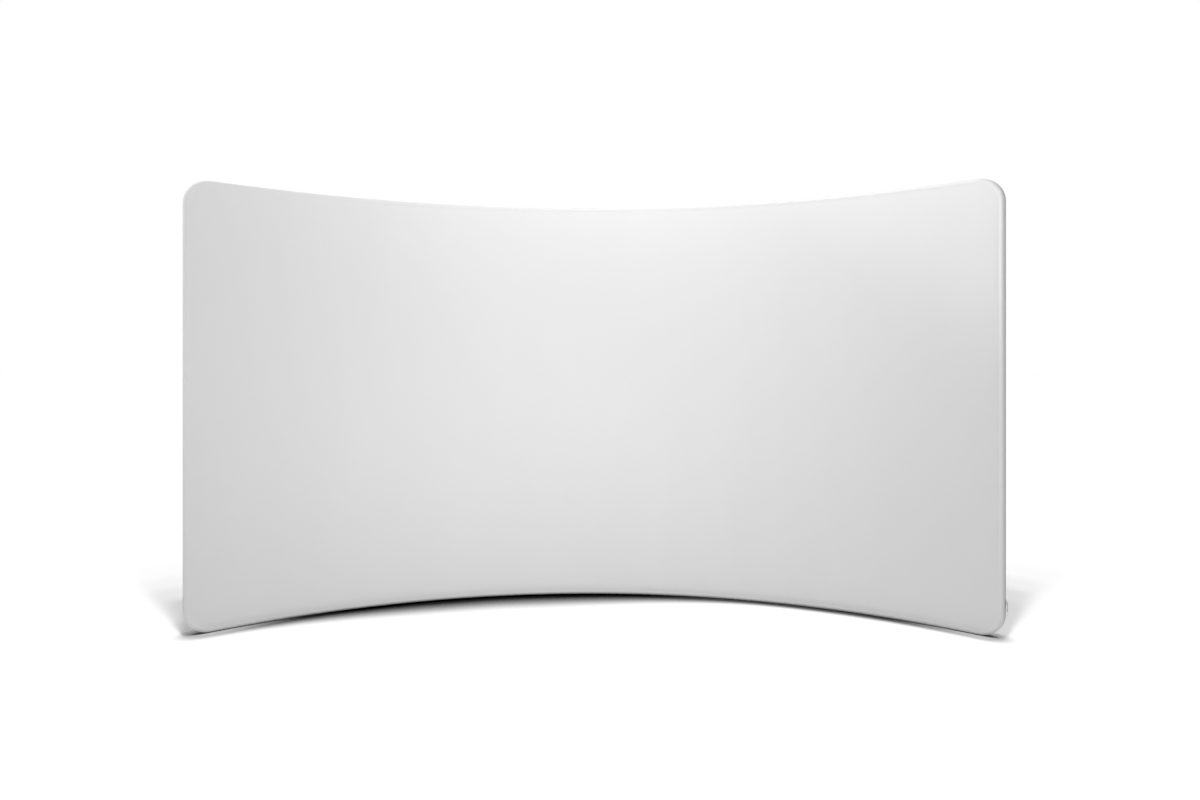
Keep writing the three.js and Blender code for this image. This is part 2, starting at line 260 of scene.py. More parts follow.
def quad(name: str, corner: Callable[[float, float], Sequence[float]]) -> Piece:
    """Makes a plane into a four-cornered face.

    Args:
        name: The new piece's name.
        corner: The place of each corner, by the signs of its x and y in the plane.

    Returns:
        The piece.
    """
    piece = started(name, bpy.ops.mesh.primitive_plane_add, size=1.0)
    places = [corner(math.copysign(1.0, x), math.copysign(1.0, y)) for x, y, _ in corners_of(piece)]
    return reshape(piece, np.array(places))


def mesh_object(name: str, points: Array, faces: list[list[int]]) -> Piece:
    """Makes an object from corners and faces, and links it to the scene.

    Args:
        name: The new piece's name.
        points: One row of three per corner.
        faces: The numbers of each face's corners.

    Returns:
        The piece.
    """
    mesh = bpy.data.meshes.new(name)
    mesh.from_pydata(points.tolist(), [], faces)
    piece = bpy.data.objects.new(name, mesh)
    bpy.context.scene.collection.objects.link(piece)
    return piece


def extrude(shift: Vector | Sequence[float]) -> None:
    """Extrudes what is selected in edit mode by a shift."""
    moved = {"value": tuple(shift), "orient_type": "GLOBAL"}
    bpy.ops.mesh.extrude_region_move(TRANSFORM_OT_translate=moved)


def resize(scale: float | Sequence[float], centre: Vector | Sequence[float]) -> None:
    """Scales what is selected in edit mode about a point."""
    factors = (scale,) * 3 if isinstance(scale, float) else tuple(scale)
    bpy.ops.transform.resize(value=factors, center_override=tuple(centre))


def modified(piece: Piece, kind: str, **settings: object) -> Piece:
    """Adds a modifier to a piece and applies it.

    Args:
        piece: The mesh object.
        kind: The modifier's type.
        **settings: The modifier's values.

    Returns:
        The same piece.
    """
    focus(piece)
    modifier = piece.modifiers.new(kind.lower(), kind)
    assign(modifier, settings)
    bpy.ops.object.modifier_apply(modifier=modifier.name)
    return piece


def combined(piece: Piece, others: Iterable[Piece], operation: str = "DIFFERENCE") -> Piece:
    """Cuts other solids out of a piece, or adds them to it, and removes them.

    Args:
        piece: The mesh object that stays.
        others: The solids that are cut out or added.
        operation: DIFFERENCE or UNION.

    Returns:
        The same piece.
    """
    for other in others:
        modified(piece, "BOOLEAN", object=other, operation=operation, solver="EXACT")
        bpy.data.objects.remove(other)
    return piece


def bevelled(piece: Piece, width: float, segments: int, degrees: float) -> Piece:
    """Rounds the edges of a piece that are sharper than an angle."""
    return modified(piece, "BEVEL", width=width, segments=segments, limit_method="ANGLE",
                    angle_limit=math.radians(degrees))


def outward_faces(piece: Piece) -> Piece:
    """Merges a piece's doubles and turns its faces outwards.

    Args:
        piece: The mesh object.

    Returns:
        The same piece.
    """
    with editing(piece, whole=True):
        bpy.ops.mesh.remove_doubles(threshold=1e-6)
        bpy.ops.mesh.normals_make_consistent(inside=False)
    return piece


def smoothed(piece: Piece, degrees: float = 35.0) -> Piece:
    """Shades a piece smooth.

    Args:
        piece: The mesh object.
        degrees: The angle past which an edge stays sharp.

    Returns:
        The same piece.
    """
    focus(piece)
    bpy.ops.object.shade_smooth_by_angle(angle=math.radians(degrees))
    return piece


def corners_of(piece: Piece) -> Array:
    """Reads where a piece's corners are.

    Args:
        piece: The mesh object.

    Returns:
        One row of three per corner.
    """
    places = np.zeros(len(piece.data.vertices) * 3)
    piece.data.vertices.foreach_get("co", places)
    return places.reshape(-1, 3)


def reshape(piece: Piece, places: Array) -> Piece:
    """Moves a piece's corners.

    Args:
        piece: The mesh object.
        places: One row of three per corner.

    Returns:
        The same piece.
    """
    piece.data.vertices.foreach_set("co", places.astype(np.float32).ravel())
    piece.data.update()
    return piece


def cylinder(name: str, radius: float, start: Vector, end: Vector, sides: int = 32) -> Piece:
    """A plain rod between two points, for cutting holes and for starting a piece.

    Args:
        name: The rod's name.
        radius: Its radius.
        start: The middle of its first end.
        end: The middle of its last end.
        sides: How many sides it has.

    Returns:
        The rod.
    """
    axis = end - start
    return started(
        name, bpy.ops.mesh.primitive_cylinder_add, vertices=sides, radius=radius,
        depth=axis.length, location=(start + end) / 2,
        rotation=axis.to_track_quat("Z", "Y").to_euler(),
    )


def copied(template: Piece, name: str, place: Matrix) -> Piece:
    """A copy of a template with its own mesh, put at a place.

    Args:
        template: The object that is copied.
        name: The copy's name.
        place: The matrix that its mesh goes through.

    Returns:
        The copy, at the origin and unturned.
    """
    piece = template.copy()
    piece.data = template.data.copy()
    piece.name = name
    piece.data.name = name
    piece.data.transform(place)
    bpy.context.scene.collection.objects.link(piece)
    return piece


def bent_round(piece: Piece) -> Piece:
    """Bends a finished piece of the flat wall round the curve."""
    return reshape(piece, WALL.bent(corners_of(piece)))


# ---- Shader groups ------------------------------------------------------------------------------

Socket = bpy.types.NodeSocket
Sockets = bpy.types.bpy_prop_collection
Slope = tuple[tuple[float, float], tuple[float, float]]


class Board:
    """Places and joins the nodes of one material or node group."""

    def __init__(self, tree: bpy.types.NodeTree) -> None:
        """Takes the node tree that the nodes go into."""
        self.tree = tree

    @classmethod
    def emptied(cls, owner: bpy.types.Material | bpy.types.World) -> "Board":
        """Takes over the node tree of a material or of the world, with nothing in it.

        Args:
            owner: The material or the world.

        Returns:
            The board to build on.
        """
        owner.use_nodes = True
        owner.node_tree.nodes.clear()
        return cls(owner.node_tree)

    def add(self, kind: str, inputs: dict | None = None, **settings: object) -> bpy.types.Node:
        """Adds one node.

        Args:
            kind: The node's type, without "ShaderNode" where it starts with that.
            inputs: Values or sockets, by the name or number of the node's inputs.
            **settings: The node's own settings.

        Returns:
            The node.
        """
        full = kind if kind.startswith("NodeGroup") else "ShaderNode" + kind
        node = self.tree.nodes.new(full)
        assign(node, settings)
        for label, value in (inputs or {}).items():
            self.feed(node.inputs[label], value)
        return node

    def feed(self, socket: Socket, value: object) -> None:
        """Joins a socket to an input, or sets the input to a plain value.

        Args:
            socket: The input.
            value: The socket or the plain value.
        """
        if isinstance(value, bpy.types.NodeSocket):
            self.tree.links.new(value, socket)
        else:
            socket.default_value = value

    def math(self, operation: str, *values: object, clamp: bool = False) -> Socket:
        """Adds one Math node.

        Args:
            operation: What it does.
            *values: Its values or sockets, in order.
            clamp: Whether the outcome is kept between 0 and 1.

        Returns:
            The outcome.
        """
        node = self.add("Math", operation=operation, use_clamp=clamp)
        for socket, value in zip(node.inputs, values, strict=False):
            self.feed(socket, value)
        return node.outputs[0]

    def noise(self, vector: Socket, scale: float | Socket, detail: float) -> Socket:
        """The grey value of a noise texture, from 0 to 1."""
        inputs = {"Vector": vector, "Scale": scale, "Detail": detail}
        return self.add("TexNoise", inputs).outputs[0]

    def scaled(self, colour: object, factor: Socket) -> Socket:
        """A colour made lighter or darker by a factor."""
        inputs = {0: colour, "Scale": factor}
        return self.add("VectorMath", inputs, operation="SCALE").outputs[0]

    def ramp(self, value: Socket, slope: Slope, interpolation: str = "LINEAR") -> Socket:
        """Adds one Map Range node.

        Args:
            value: What it reads.
            slope: The two places, and the outcome at each.
            interpolation: LINEAR, or SMOOTHSTEP for a slope that is level at both ends.

        Returns:
            The outcome.
        """
        (start, end), (low, high) = slope
        inputs = {"Value": value, "From Min": start, "From Max": end, "To Min": low, "To Max": high}
        return self.add("MapRange", inputs, interpolation_type=interpolation).outputs[0]

    def group(self, tree: bpy.types.NodeTree, inputs: dict[str, object]) -> bpy.types.Node:
        """Places a shared node group with its own values.

        Args:
            tree: The group.
            inputs: Values or sockets by the names of its inputs.

        Returns:
            The group's node.
        """
        node = self.tree.nodes.new("ShaderNodeGroup")
        node.node_tree = tree
        for label, value in inputs.items():
            self.feed(node.inputs[label], value)
        return node


class Effects:
    """The shader groups that several finishes share, each built once."""

    def __init__(self) -> None:
        """Builds every group."""
        self.shade_drift = self._shade_drift()
        self.knit = self._knit()
        self.pull_lines = self._pull_lines()
        self.grain = self._grain()
        self.dust = self._dust()

    @staticmethod
    def _start(
        name: str, inputs: dict[str, object], outputs: dict[str, str],
    ) -> tuple[Board, Sockets, Sockets]:
        """Makes an empty group with its sockets.

        Args:
            name: The group's name.
            inputs: Default values by name; the word vector for a vector without one.
            outputs: Socket types by name.

        Returns:
            The board to build on, the sockets that are given and those to feed.
        """
        tree = bpy.data.node_groups.new(name, "ShaderNodeTree")
        for label, value in inputs.items():
            kinds = {float: "NodeSocketFloat", tuple: "NodeSocketColor"}
            kind = kinds.get(type(value), "NodeSocketVector")
            socket = tree.interface.new_socket(label, in_out="INPUT", socket_type=kind)
            if not isinstance(value, str):
                socket.default_value = value
        for label, kind in outputs.items():
            tree.interface.new_socket(label, in_out="OUTPUT", socket_type=kind)
        board = Board(tree)
        return board, board.add("NodeGroupInput").outputs, board.add("NodeGroupOutput").inputs

    def _shade_drift(self) -> bpy.types.NodeTree:
        """A colour that drifts slowly lighter and darker over a surface.

        Returns:
            The group.
        """
        board, given, out = self._start(
            "shade_drift",
            {"Vector": "vector", "Color": (0.8, 0.8, 0.8, 1.0), "Scale": 2.0, "Amount": 0.03},
            {"Color": "NodeSocketColor"},
        )
        centred = board.math("SUBTRACT", board.noise(given["Vector"], given["Scale"], 2.0), 0.5)
        share = board.math("MULTIPLY_ADD", centred, given["Amount"], 1.0)
        board.feed(out["Color"], board.scaled(given["Color"], share))
        return board.tree

    def _knit(self) -> bpy.types.NodeTree:
        """A fine warp-knit face: columns of V-shaped stitches, as a height from 0 to 1.

        Returns:
            The group.
        """
        board, given, out = self._start(
            "knit",
            {"Vector": "vector", "Wale": 0.0009, "Course": 0.0007},
            {"Height": "NodeSocketFloat"},
        )
        place = board.add("SeparateXYZ", {0: given["Vector"]})
        across = board.math("DIVIDE", place.outputs["X"], given["Wale"])
        along = board.math("DIVIDE", place.outputs["Y"], given["Course"])
        column = board.math("FRACT", across)
        lean = board.math("ABSOLUTE", board.math("SUBTRACT", column, 0.5))
        row = board.math("FRACT", board.math("ADD", along, lean))
        swell = board.math("SINE", board.math("MULTIPLY", row, math.pi))
        legs = board.math("ABSOLUTE", board.math("SINE", board.math("MULTIPLY", column, math.tau)))
        height = board.math("MULTIPLY", board.math("SQRT", legs), swell)
        board.feed(out["Height"], height)
        return board.tree

    def _pull_lines(self) -> bpy.types.NodeTree:
        """Faint even ripples round a point, as a height about 0, stronger in some patches.

        Returns:
            The group.
        """
        board, given, out = self._start(
            "pull_lines",
            {"Vector": "vector", "Centre": "vector", "Pitch": 0.08},
            {"Height": "NodeSocketFloat"},
        )
        away = board.add("VectorMath", {0: given["Vector"], 1: given["Centre"]},
                         operation="DISTANCE")
        bent = board.math("MULTIPLY", board.noise(given["Vector"], 1.4, 1.0), 0.5)
        turns = board.math("DIVIDE", board.math("ADD", away.outputs["Value"], bent),
                           given["Pitch"])
        wave = board.math("SINE", board.math("MULTIPLY", turns, math.tau))
        patches = board.math("POWER", board.noise(given["Vector"], 0.9, 1.0), 2.0)
        near = board.ramp(away.outputs["Value"], ((3.2, 0.8), (0.3, 2.2)))
        height = board.math("MULTIPLY", board.math("MULTIPLY", wave, patches), near)
        board.feed(out["Height"], height)
        return board.tree

    def _grain(self) -> bpy.types.NodeTree:
        """Fine satin grain of drawn or moulded surfaces, as a height and a roughness.

        Returns:
            The group.
        """
        board, given, out = self._start(
            "grain",
            {"Vector": "vector", "Scale": 400.0, "Roughness": 0.4, "Spread": 0.1},
            {"Height": "NodeSocketFloat", "Roughness": "NodeSocketFloat"},
        )
        fine = board.noise(given["Vector"], given["Scale"], 4.0)
        patches = board.noise(given["Vector"], 30.0, 2.0)
        halves = [board.math("MULTIPLY", part, 0.5) for part in (fine, patches)]
        centred = board.math("SUBTRACT", board.math("ADD", *halves), 0.5)
        rough = board.math(
            "MULTIPLY_ADD", centred, given["Spread"], given["Roughness"], clamp=True,
        )
        board.feed(out["Height"], fine)
        board.feed(out["Roughness"], rough)
        return board.tree

    def _dust(self) -> bpy.types.NodeTree:
        """A trace of handling marks over a colour.

        Returns:
            The group.
        """
        board, given, out = self._start(
            "dust",
            {"Vector": "vector", "Color": (0.5, 0.5, 0.5, 1.0), "Dust": (0.5, 0.49, 0.47, 1.0),
             "Amount": 0.15},
            {"Color": "NodeSocketColor"},
        )
        cloud = board.noise(given["Vector"], 45.0, 5.0)
        spots = board.math("MULTIPLY", board.math("SUBTRACT", cloud, 0.5), 4.0, clamp=True)
        share = board.math("MULTIPLY", spots, given["Amount"])
        mixed = board.add("Mix", {0: share}, data_type="RGBA")
        board.feed(mixed.inputs[6], given["Color"])
        board.feed(mixed.inputs[7], given["Dust"])
        board.feed(out["Color"], mixed.outputs[2])
        return board.tree


# ---- Finishes -----------------------------------------------------------------------------------


def colour_of(grey: float, warmth: float = 0.0) -> tuple[float, float, float, float]:
    """A near-grey colour; warmth above 0 leans it to yellow, below 0 to blue."""
    return (grey * (1 + warmth), grey, grey * (1 - warmth), 1.0)


class Finish:
    """What every finish has in common: a material with a Principled shader."""

    name: str

    def material(self, effects: Effects) -> bpy.types.Material:
        """Builds the material.

        Args:
            effects: The shared shader groups.

        Returns:
            The material.
        """
        made = bpy.data.materials.new(self.name)
        board = Board.emptied(made)
        surface = board.add("BsdfPrincipled")
        board.add("OutputMaterial", {"Surface": surface.outputs[0]})
        self.dress(board, surface.inputs, effects)
        return made

    def dress(self, board: Board, surface: Sockets, effects: Effects) -> None:
        """Joins the finish's own nodes to the shader's inputs."""
        raise NotImplementedError

    @staticmethod
    def bump(board: Board, height: Socket, distance: float) -> Socket:
        """The normal that a height gives."""
        return board.add("Bump", {"Height": height, "Distance": distance}).outputs["Normal"]


@dataclass(frozen=True)
class StretchCloth(Finish):
    """Matt white warp-knit polyester, drawn tight."""

    name: str = "stretch_cloth"
    grey: float = 0.82
    roughness: float = 0.92
    specular: float = 0.25
    sheen: float = 0.08
    sheen_roughness: float = 0.5
    wale: float = 0.0009
    course: float = 0.0007
    stitch_height: float = 0.00012
    # How strongly painted shade darkens the knit's valleys.
    stitch_shade: float = 0.06
    drift: float = 0.03
    drift_scale: float = 1.3
    streak_scale: tuple[float, float, float] = (3.0, 0.8, 1.0)
    streak_degrees: float = -28.0
    line_pitch: float = 0.085
    line_height: float = 0.0002
    pull_centre: tuple[float, float, float] = (-2.3, -0.2, 0.0)

    def dress(self, board: Board, surface: Sockets, effects: Effects) -> None:
        """Drifts the white a little, knits the surface from the cloth's own UV map, and paints
        shade into the knit's valleys.

        Args:
            board: The material's board.
            surface: The shader's inputs.
            effects: The shared shader groups.
        """
        flat = board.add("UVMap", uv_map="cloth").outputs[0]
        streaks = board.add("Mapping", {
            "Vector": flat, "Scale": self.streak_scale,
            "Rotation": (0.0, 0.0, math.radians(self.streak_degrees)),
        })
        drift = board.group(effects.shade_drift, {
            "Vector": streaks.outputs[0], "Color": colour_of(self.grey),
            "Scale": self.drift_scale, "Amount": self.drift,
        })
        knit = board.group(effects.knit, {"Vector": flat, "Wale": self.wale, "Course": self.course})
        # Painted shade: the colour darkens in the knit's valleys and lightens on the loops' tops.
        thread = board.math("MULTIPLY_ADD", knit.outputs["Height"], self.stitch_shade,
                            1.0 - self.stitch_shade / 2)
        lines = board.group(effects.pull_lines, {
            "Vector": flat, "Centre": self.pull_centre, "Pitch": self.line_pitch,
        })
        normal = self.bump(board, knit.outputs["Height"], self.stitch_height)
        pulled = self.bump(board, lines.outputs["Height"], self.line_height)
        board.feed(normal.node.inputs["Normal"], pulled)
        board.feed(surface["Base Color"], board.scaled(drift.outputs["Color"], thread))
        board.feed(surface["Normal"], normal)
        board.feed(surface["Roughness"], self.roughness)
        board.feed(surface["Specular IOR Level"], self.specular)
        board.feed(surface["Sheen Weight"], self.sheen)
        board.feed(surface["Sheen Roughness"], self.sheen_roughness)


@dataclass(frozen=True)
class Grained(Finish):
    """What the harder finishes have in common: a fine grain that unsettles gloss and normal."""

    name: str
    grey: float
    roughness: float
    spread: float = 0.2
    grain_scale: float = 700.0
    grain_height: float = 0.00005
    metallic: float = 0.0

    def dress(self, board: Board, surface: Sockets, effects: Effects) -> None:
        """Gives the surface its colour, its grain and its uneven gloss.

        Args:
            board: The material's board.
            surface: The shader's inputs.
            effects: The shared shader groups.
        """
        place = board.add("TexCoord").outputs["Object"]
        grain = board.group(effects.grain, {
            "Vector": place, "Scale": self.grain_scale, "Roughness": self.roughness,
            "Spread": self.spread,
        })
        normal = self.bump(board, grain.outputs["Height"], self.grain_height)
        board.feed(surface["Base Color"], self.colour(board, place, effects))
        board.feed(surface["Metallic"], self.metallic)
        board.feed(surface["Roughness"], grain.outputs["Roughness"])
        board.feed(surface["Normal"], normal)

    def colour(self, board: Board, place: Socket, effects: Effects) -> Socket:
        """The colour that changes over the surface."""
        raise NotImplementedError


@dataclass(frozen=True)
class WovenTape(Grained):
    """The zip's tape and nylon coil, and the sewing thread."""

    name: str = "zip_tape"
    grey: float = 0.78
    roughness: float = 0.7
    grain_scale: float = 900.0
    grain_height: float = 0.0002
    drift: float = 0.06
    drift_scale: float = 12.0

    def colour(self, board: Board, place: Socket, effects: Effects) -> Socket:
        """White with a slow drift of shade."""
        inputs = {"Vector": place, "Color": colour_of(self.grey), "Scale": self.drift_scale,
                  "Amount": self.drift}
        return board.group(effects.shade_drift, inputs).outputs["Color"]


@dataclass(frozen=True)
class Handled(Grained):
    """A grained finish with a trace of handling marks."""

    warmth: float = 0.0
    dust_grey: float = 0.25
    dust_warmth: float = 0.02
    dusting: float = 0.2

    def colour(self, board: Board, place: Socket, effects: Effects) -> Socket:
        """A plain colour under the marks."""
        inputs = {"Vector": place, "Color": colour_of(self.grey, self.warmth),
                  "Dust": colour_of(self.dust_grey, self.dust_warmth), "Amount": self.dusting}
        return board.group(effects.dust, inputs).outputs["Color"]


@dataclass(frozen=True)
class Metal(Handled):
    """A satin metal; as it stands, the tubes' drawn aluminium."""

    name: str = "tube_aluminium"
    grey: float = 0.72
    roughness: float = 0.36
    spread: float = 0.18
    grain_scale: float = 350.0
    grain_height: float = 0.00002
    metallic: float = 1.0
    warmth: float = -0.01
    dust_grey: float = 0.504
    dusting: float = 0.15


@dataclass(frozen=True)
class MouldedPlastic(Handled):
    """Grey moulded nylon with a fine spark-eroded texture."""

    name: str = "saddle_plastic"
    grey: float = 0.09
    roughness: float = 0.55
    warmth: float = -0.02


class Palette:
    """The materials of the wall, built once each."""

    def __init__(self) -> None:
        """Builds every finish."""
        effects = Effects()
        self.cloth = StretchCloth().material(effects)
        self.tape = WovenTape().material(effects)
        self.thread = WovenTape(name="sewing_thread", grey=0.8, roughness=0.5).material(effects)
        self.aluminium = Metal().material(effects)
        self.steel = Metal(
            name="spring_steel", grey=0.62, warmth=0.0, roughness=0.28, grain_scale=600.0,
            dust_grey=0.434,
        ).material(effects)
        self.zinc = Metal(
            name="zip_metal", grey=0.3, warmth=0.01, roughness=0.34, dust_grey=0.21, dusting=0.3,
        ).material(effects)
        self.plastic = MouldedPlastic().material(effects)


def finished(
    piece: Piece, material: bpy.types.Material, slot: str, *nodes: str,
    body: str = STILL_BODY,
) -> Piece:
    """Gives a piece its material, its body and the CAD nodes that it stands for.

    Args:
        piece: The finished mesh object.
        material: Its material.
        slot: The record's material slot; not used.
        *nodes: The CAD nodes that it replaces.
        body: The body that it rides on.

    Returns:
        The same piece.
    """
    piece.data.materials.clear()
    piece.data.materials.append(material)
    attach(piece, body)
    if nodes:
        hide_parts(*nodes)
    LOG.info("%s: %d faces", piece.name, len(piece.data.polygons))
    return piece


# ---- The frame's path ---------------------------------------------------------------------------


class Heading(Enum):
    """Which way a tube points as it starts, as a turn from straight up, clockwise."""

    UP = 0.0
    RIGHT = QUARTER
    DOWN = 2 * QUARTER
    LEFT = 3 * QUARTER


def ahead(lean: float) -> Vector:
    """The direction of a heading on the flat wall."""
    return Vector((math.sin(lean), 0.0, math.cos(lean)))


def inward(lean: float) -> Vector:
    """The direction to the right of a heading, which is the frame's inner side."""
    return Vector((math.cos(lean), 0.0, -math.sin(lean)))


@dataclass(frozen=True)
class TubeLength:
    """One length of tube: straight, then perhaps round a corner and straight again.

    The frame's lengths run clockwise as the camera sees them, each from its own joint, which is
    named as its button is. A length is female there, and male where it ends. A pole's foot has
    no joint.
    """

    name: str
    joint: str
    start: tuple[float, float]
    heading: Heading
    straight: float
    second: float | None = None
    male: bool = True
    dowels: tuple[float, ...] = ()

    @property
    def start_gap(self) -> float:
        """The clearance at its own joint."""
        return WALL.gap / 2 if self.joint else 0.0

    @property
    def full(self) -> float:
        """The length along the axis from its own joint to the next."""
        past = 0.0 if self.second is None else QUARTER * WALL.bend + self.second
        return self.straight + past

    @property
    def presses(self) -> list[float]:
        """Where its button holes are along the axis."""
        ends = ((0.0, self.joint), (self.full, self.male))
        return [end + WALL.button_from_joint for end, drilled in ends if drilled]

    def at(self, distance: float) -> tuple[Vector, float]:
        """Where a point on one of the length's straights is.

        Args:
            distance: Its distance along the axis.

        Returns:
            Its place and the tube's lean there.
        """
        lean = self.heading.value
        place = Vector((self.start[0], 0.0, self.start[1]))
        if self.second is None or distance <= self.straight:
            return place + ahead(lean) * distance, lean
        place += ahead(lean) * (self.straight + WALL.bend) + inward(lean) * WALL.bend
        past = distance - self.straight - QUARTER * WALL.bend
        return place + ahead(lean + QUARTER) * past, lean + QUARTER


@dataclass(frozen=True)
class Frame:
    """The tubes, snap buttons and pole saddles inside the cover."""

    palette: Palette
    sides: int = 40
    rail_step: float = 0.04
    bend_steps: int = 14
    shoulder: float = 0.003
    rim_bevel: float = 0.0003
    button_hole: float = 0.0033
    dowel_hole: float = 0.0043
    saddle_collar: float = 0.036
    saddle_top: float = 0.070
    dome_radius: float = 0.003
    dome_proud: float = 0.0025
    dome_rounding: float = 0.0012
    leaf_out: float = 0.0112
    leaf_width: float = 0.008
    leaf_thickness: float = 0.0008

    def lengths(self) -> list[TubeLength]:
        """Lists the tubes.

        Returns:
            Every length of the frame, clockwise from the top left, and of the two poles.
        """
        low, high = WALL.low_axis, WALL.high_axis
        side = WALL.half_run
        first, middle, last = WALL.upright_joints
        rail = WALL.rail_joints[1] - WALL.rail_joints[0]
        stub = WALL.straight_run - WALL.rail_joints[-1]
        up_stub, down_stub = WALL.high_corner - last, WALL.low_corner - first
        up, right, down, left = Heading
        found = []
        for k, run in enumerate(WALL.rail_joints[:-1]):
            dowels = tuple(pole - run for pole in self.pole_runs() if run < pole < run + rail)
            found += [
                TubeLength(f"top_rail_{k + 1}", f"top_{k + 1}", (run, high), right, rail,
                           dowels=dowels),
                TubeLength(f"bottom_rail_{k + 1}", f"bottom_{k + 2}", (run + rail, low), left,
                           rail, dowels=tuple(rail - at for at in dowels)),
            ]
        far = WALL.rail_joints[-1]
        found += [TubeLength(*size) for size in (
            ("top_right_corner", "top_5", (far, high), right, stub, up_stub),
            ("bottom_right_corner", "right_1", (side, first), down, -down_stub, stub),
            ("bottom_left_corner", "bottom_1", (-far, low), left, stub, -down_stub),
            ("top_left_corner", "left_3", (-side, last), up, up_stub, stub),
            ("right_upright_upper", "right_3", (side, last), down, last - middle),
            ("right_upright_lower", "right_2", (side, middle), down, middle - first),
            ("left_upright_lower", "left_1", (-side, first), up, middle - first),
            ("left_upright_upper", "left_2", (-side, middle), up, last - middle),
        )]
        split = WALL.pole_joint
        foot = low + self.saddle_collar + WALL.gap
        head = high - self.saddle_collar - WALL.gap
        for name, run in zip(("left", "right"), self.pole_runs(), strict=True):
            found += [
                TubeLength(f"{name}_pole_lower", "", (run, foot), up, split - foot),
                TubeLength(f"{name}_pole_upper", f"{name}_pole", (run, split), up, head - split,
                           male=False),
            ]
        return found

    @staticmethod
    def pole_runs() -> tuple[float, float]:
        """The runs of the two poles."""
        return (-WALL.pole_run, WALL.pole_run)

    def tube(self, length: TubeLength) -> Piece:
        """Draws one length of tube from a ring, and drills it.

        Args:
            length: Where the tube runs and what is drilled.

        Returns:
            The tube, bent round the wall's curve.
        """
        lean = length.heading.value
        place, _ = length.at(length.start_gap)
        piece = started(
            length.name + "_tube", bpy.ops.mesh.primitive_circle_add, vertices=self.sides,
            radius=WALL.tube_radius, fill_type="NOTHING", location=place, rotation=(0.0, lean, 0.0),
        )
        last = length.straight - length.start_gap
        with editing(piece, whole=True):
            if length.second is not None:
                self._draw(lean, last)
                place, _ = length.at(length.straight)
                centre = place + inward(lean) * WALL.bend
                bpy.ops.mesh.spin(steps=self.bend_steps, angle=-QUARTER, center=centre,
                                  axis=(0, 1, 0))
                lean += QUARTER
                last = length.second
            if length.male:
                self._draw(lean, last - WALL.gap / 2 - self.shoulder)
                self._draw_spigot(lean, length.at(length.full)[0])
            else:
                self._draw(lean, last)
        outward_faces(piece)
        modified(piece, "SOLIDIFY", thickness=WALL.tube_wall, offset=-1.0, use_even_offset=True)
        bevelled(piece, self.rim_bevel, 2, 60)
        holes = [(at, self.button_hole) for at in length.presses]
        holes += [(at, self.dowel_hole) for at in length.dowels]
        combined(piece, [self._drill(length, *hole) for hole in holes])
        return bent_round(smoothed(piece))

    def _draw(self, lean: float, distance: float) -> None:
        """Extrudes the selected ring along a straight in short steps.

        Args:
            lean: The tube's lean.
            distance: The length of the straight.
        """
        steps = max(1, round(distance / self.rail_step))
        for _ in range(steps):
            extrude(ahead(lean) * (distance / steps))

    def _draw_spigot(self, lean: float, joint: Vector) -> None:
        """Swages the selected ring down, and draws the reduced end through the joint.

        Args:
            lean: The tube's lean.
            joint: The middle of the joint.
        """
        shoulder_end = joint - ahead(lean) * (WALL.gap / 2)
        extrude(ahead(lean) * self.shoulder)
        resize(WALL.spigot_radius / WALL.tube_radius, shoulder_end)
        self._draw(lean, WALL.spigot_length + WALL.gap / 2)

    @staticmethod
    def _drill(length: TubeLength, distance: float, radius: float) -> Piece:
        """The rod that cuts one hole through a tube's inner side."""
        place, lean = length.at(distance)
        return cylinder("drill", radius, place, place + inward(lean) * 2 * WALL.tube_radius, 24)

    def button_template(self) -> Piece:
        """Models a button.

        Returns:
            A domed stud on its V-shaped leaf spring: y is along the tube, z out of the hole.
        """
        rounding = self.dome_rounding
        shoulder = WALL.tube_radius + self.dome_proud - rounding
        stud = started("stud", bpy.ops.mesh.primitive_circle_add, vertices=24,
                       radius=self.dome_radius, fill_type="NOTHING", location=(0, 0, self.leaf_out))
        with editing(stud, whole=True):
            bpy.ops.mesh.edge_face_add()
            extrude((0, 0, shoulder - self.leaf_out))
            ring, height = self.dome_radius, shoulder
            for turn in (0.33, 0.66, 0.92):
                angle = turn * QUARTER
                narrow = self.dome_radius - rounding + rounding * math.cos(angle)
                level = shoulder + rounding * math.sin(angle)
                extrude((0, 0, level - height))
                resize((narrow / ring, narrow / ring, 1.0), (0, 0, level))
                ring, height = narrow, level
        outward_faces(stud)
        return smoothed(combined(stud, [self._leaf()], "UNION"))

    def _leaf(self) -> Piece:
        """Models the leaf spring.

        Returns:
            A strip folded back on itself at the heel.
        """
        out, half = self.leaf_out, self.leaf_width / 2
        stops = [(0.007, out), (-0.0195, out), (-0.0212, out - 0.0005), (-0.0220, out - 0.0018),
                 (-0.0216, out - 0.0032), (-0.0200, out - 0.0042), (0.0055, -0.0031),
                 (0.0072, -0.0034)]
        leaf = quad("leaf", lambda x, y: (half * x, y, stops[0][1]))
        with editing(leaf):
            pick(leaf, lambda at: at.y > 0)
            bpy.ops.mesh.delete(type="VERT")
        reshape(leaf, np.array([[x, *stops[0]] for x, _, _ in corners_of(leaf)]))
        with editing(leaf, "EDGE", whole=True):
            for (y, z), (next_y, next_z) in zip(stops, stops[1:], strict=False):
                extrude((0, next_y - y, next_z - z))
        modified(leaf, "SOLIDIFY", thickness=self.leaf_thickness, offset=0.0)
        return outward_faces(leaf)

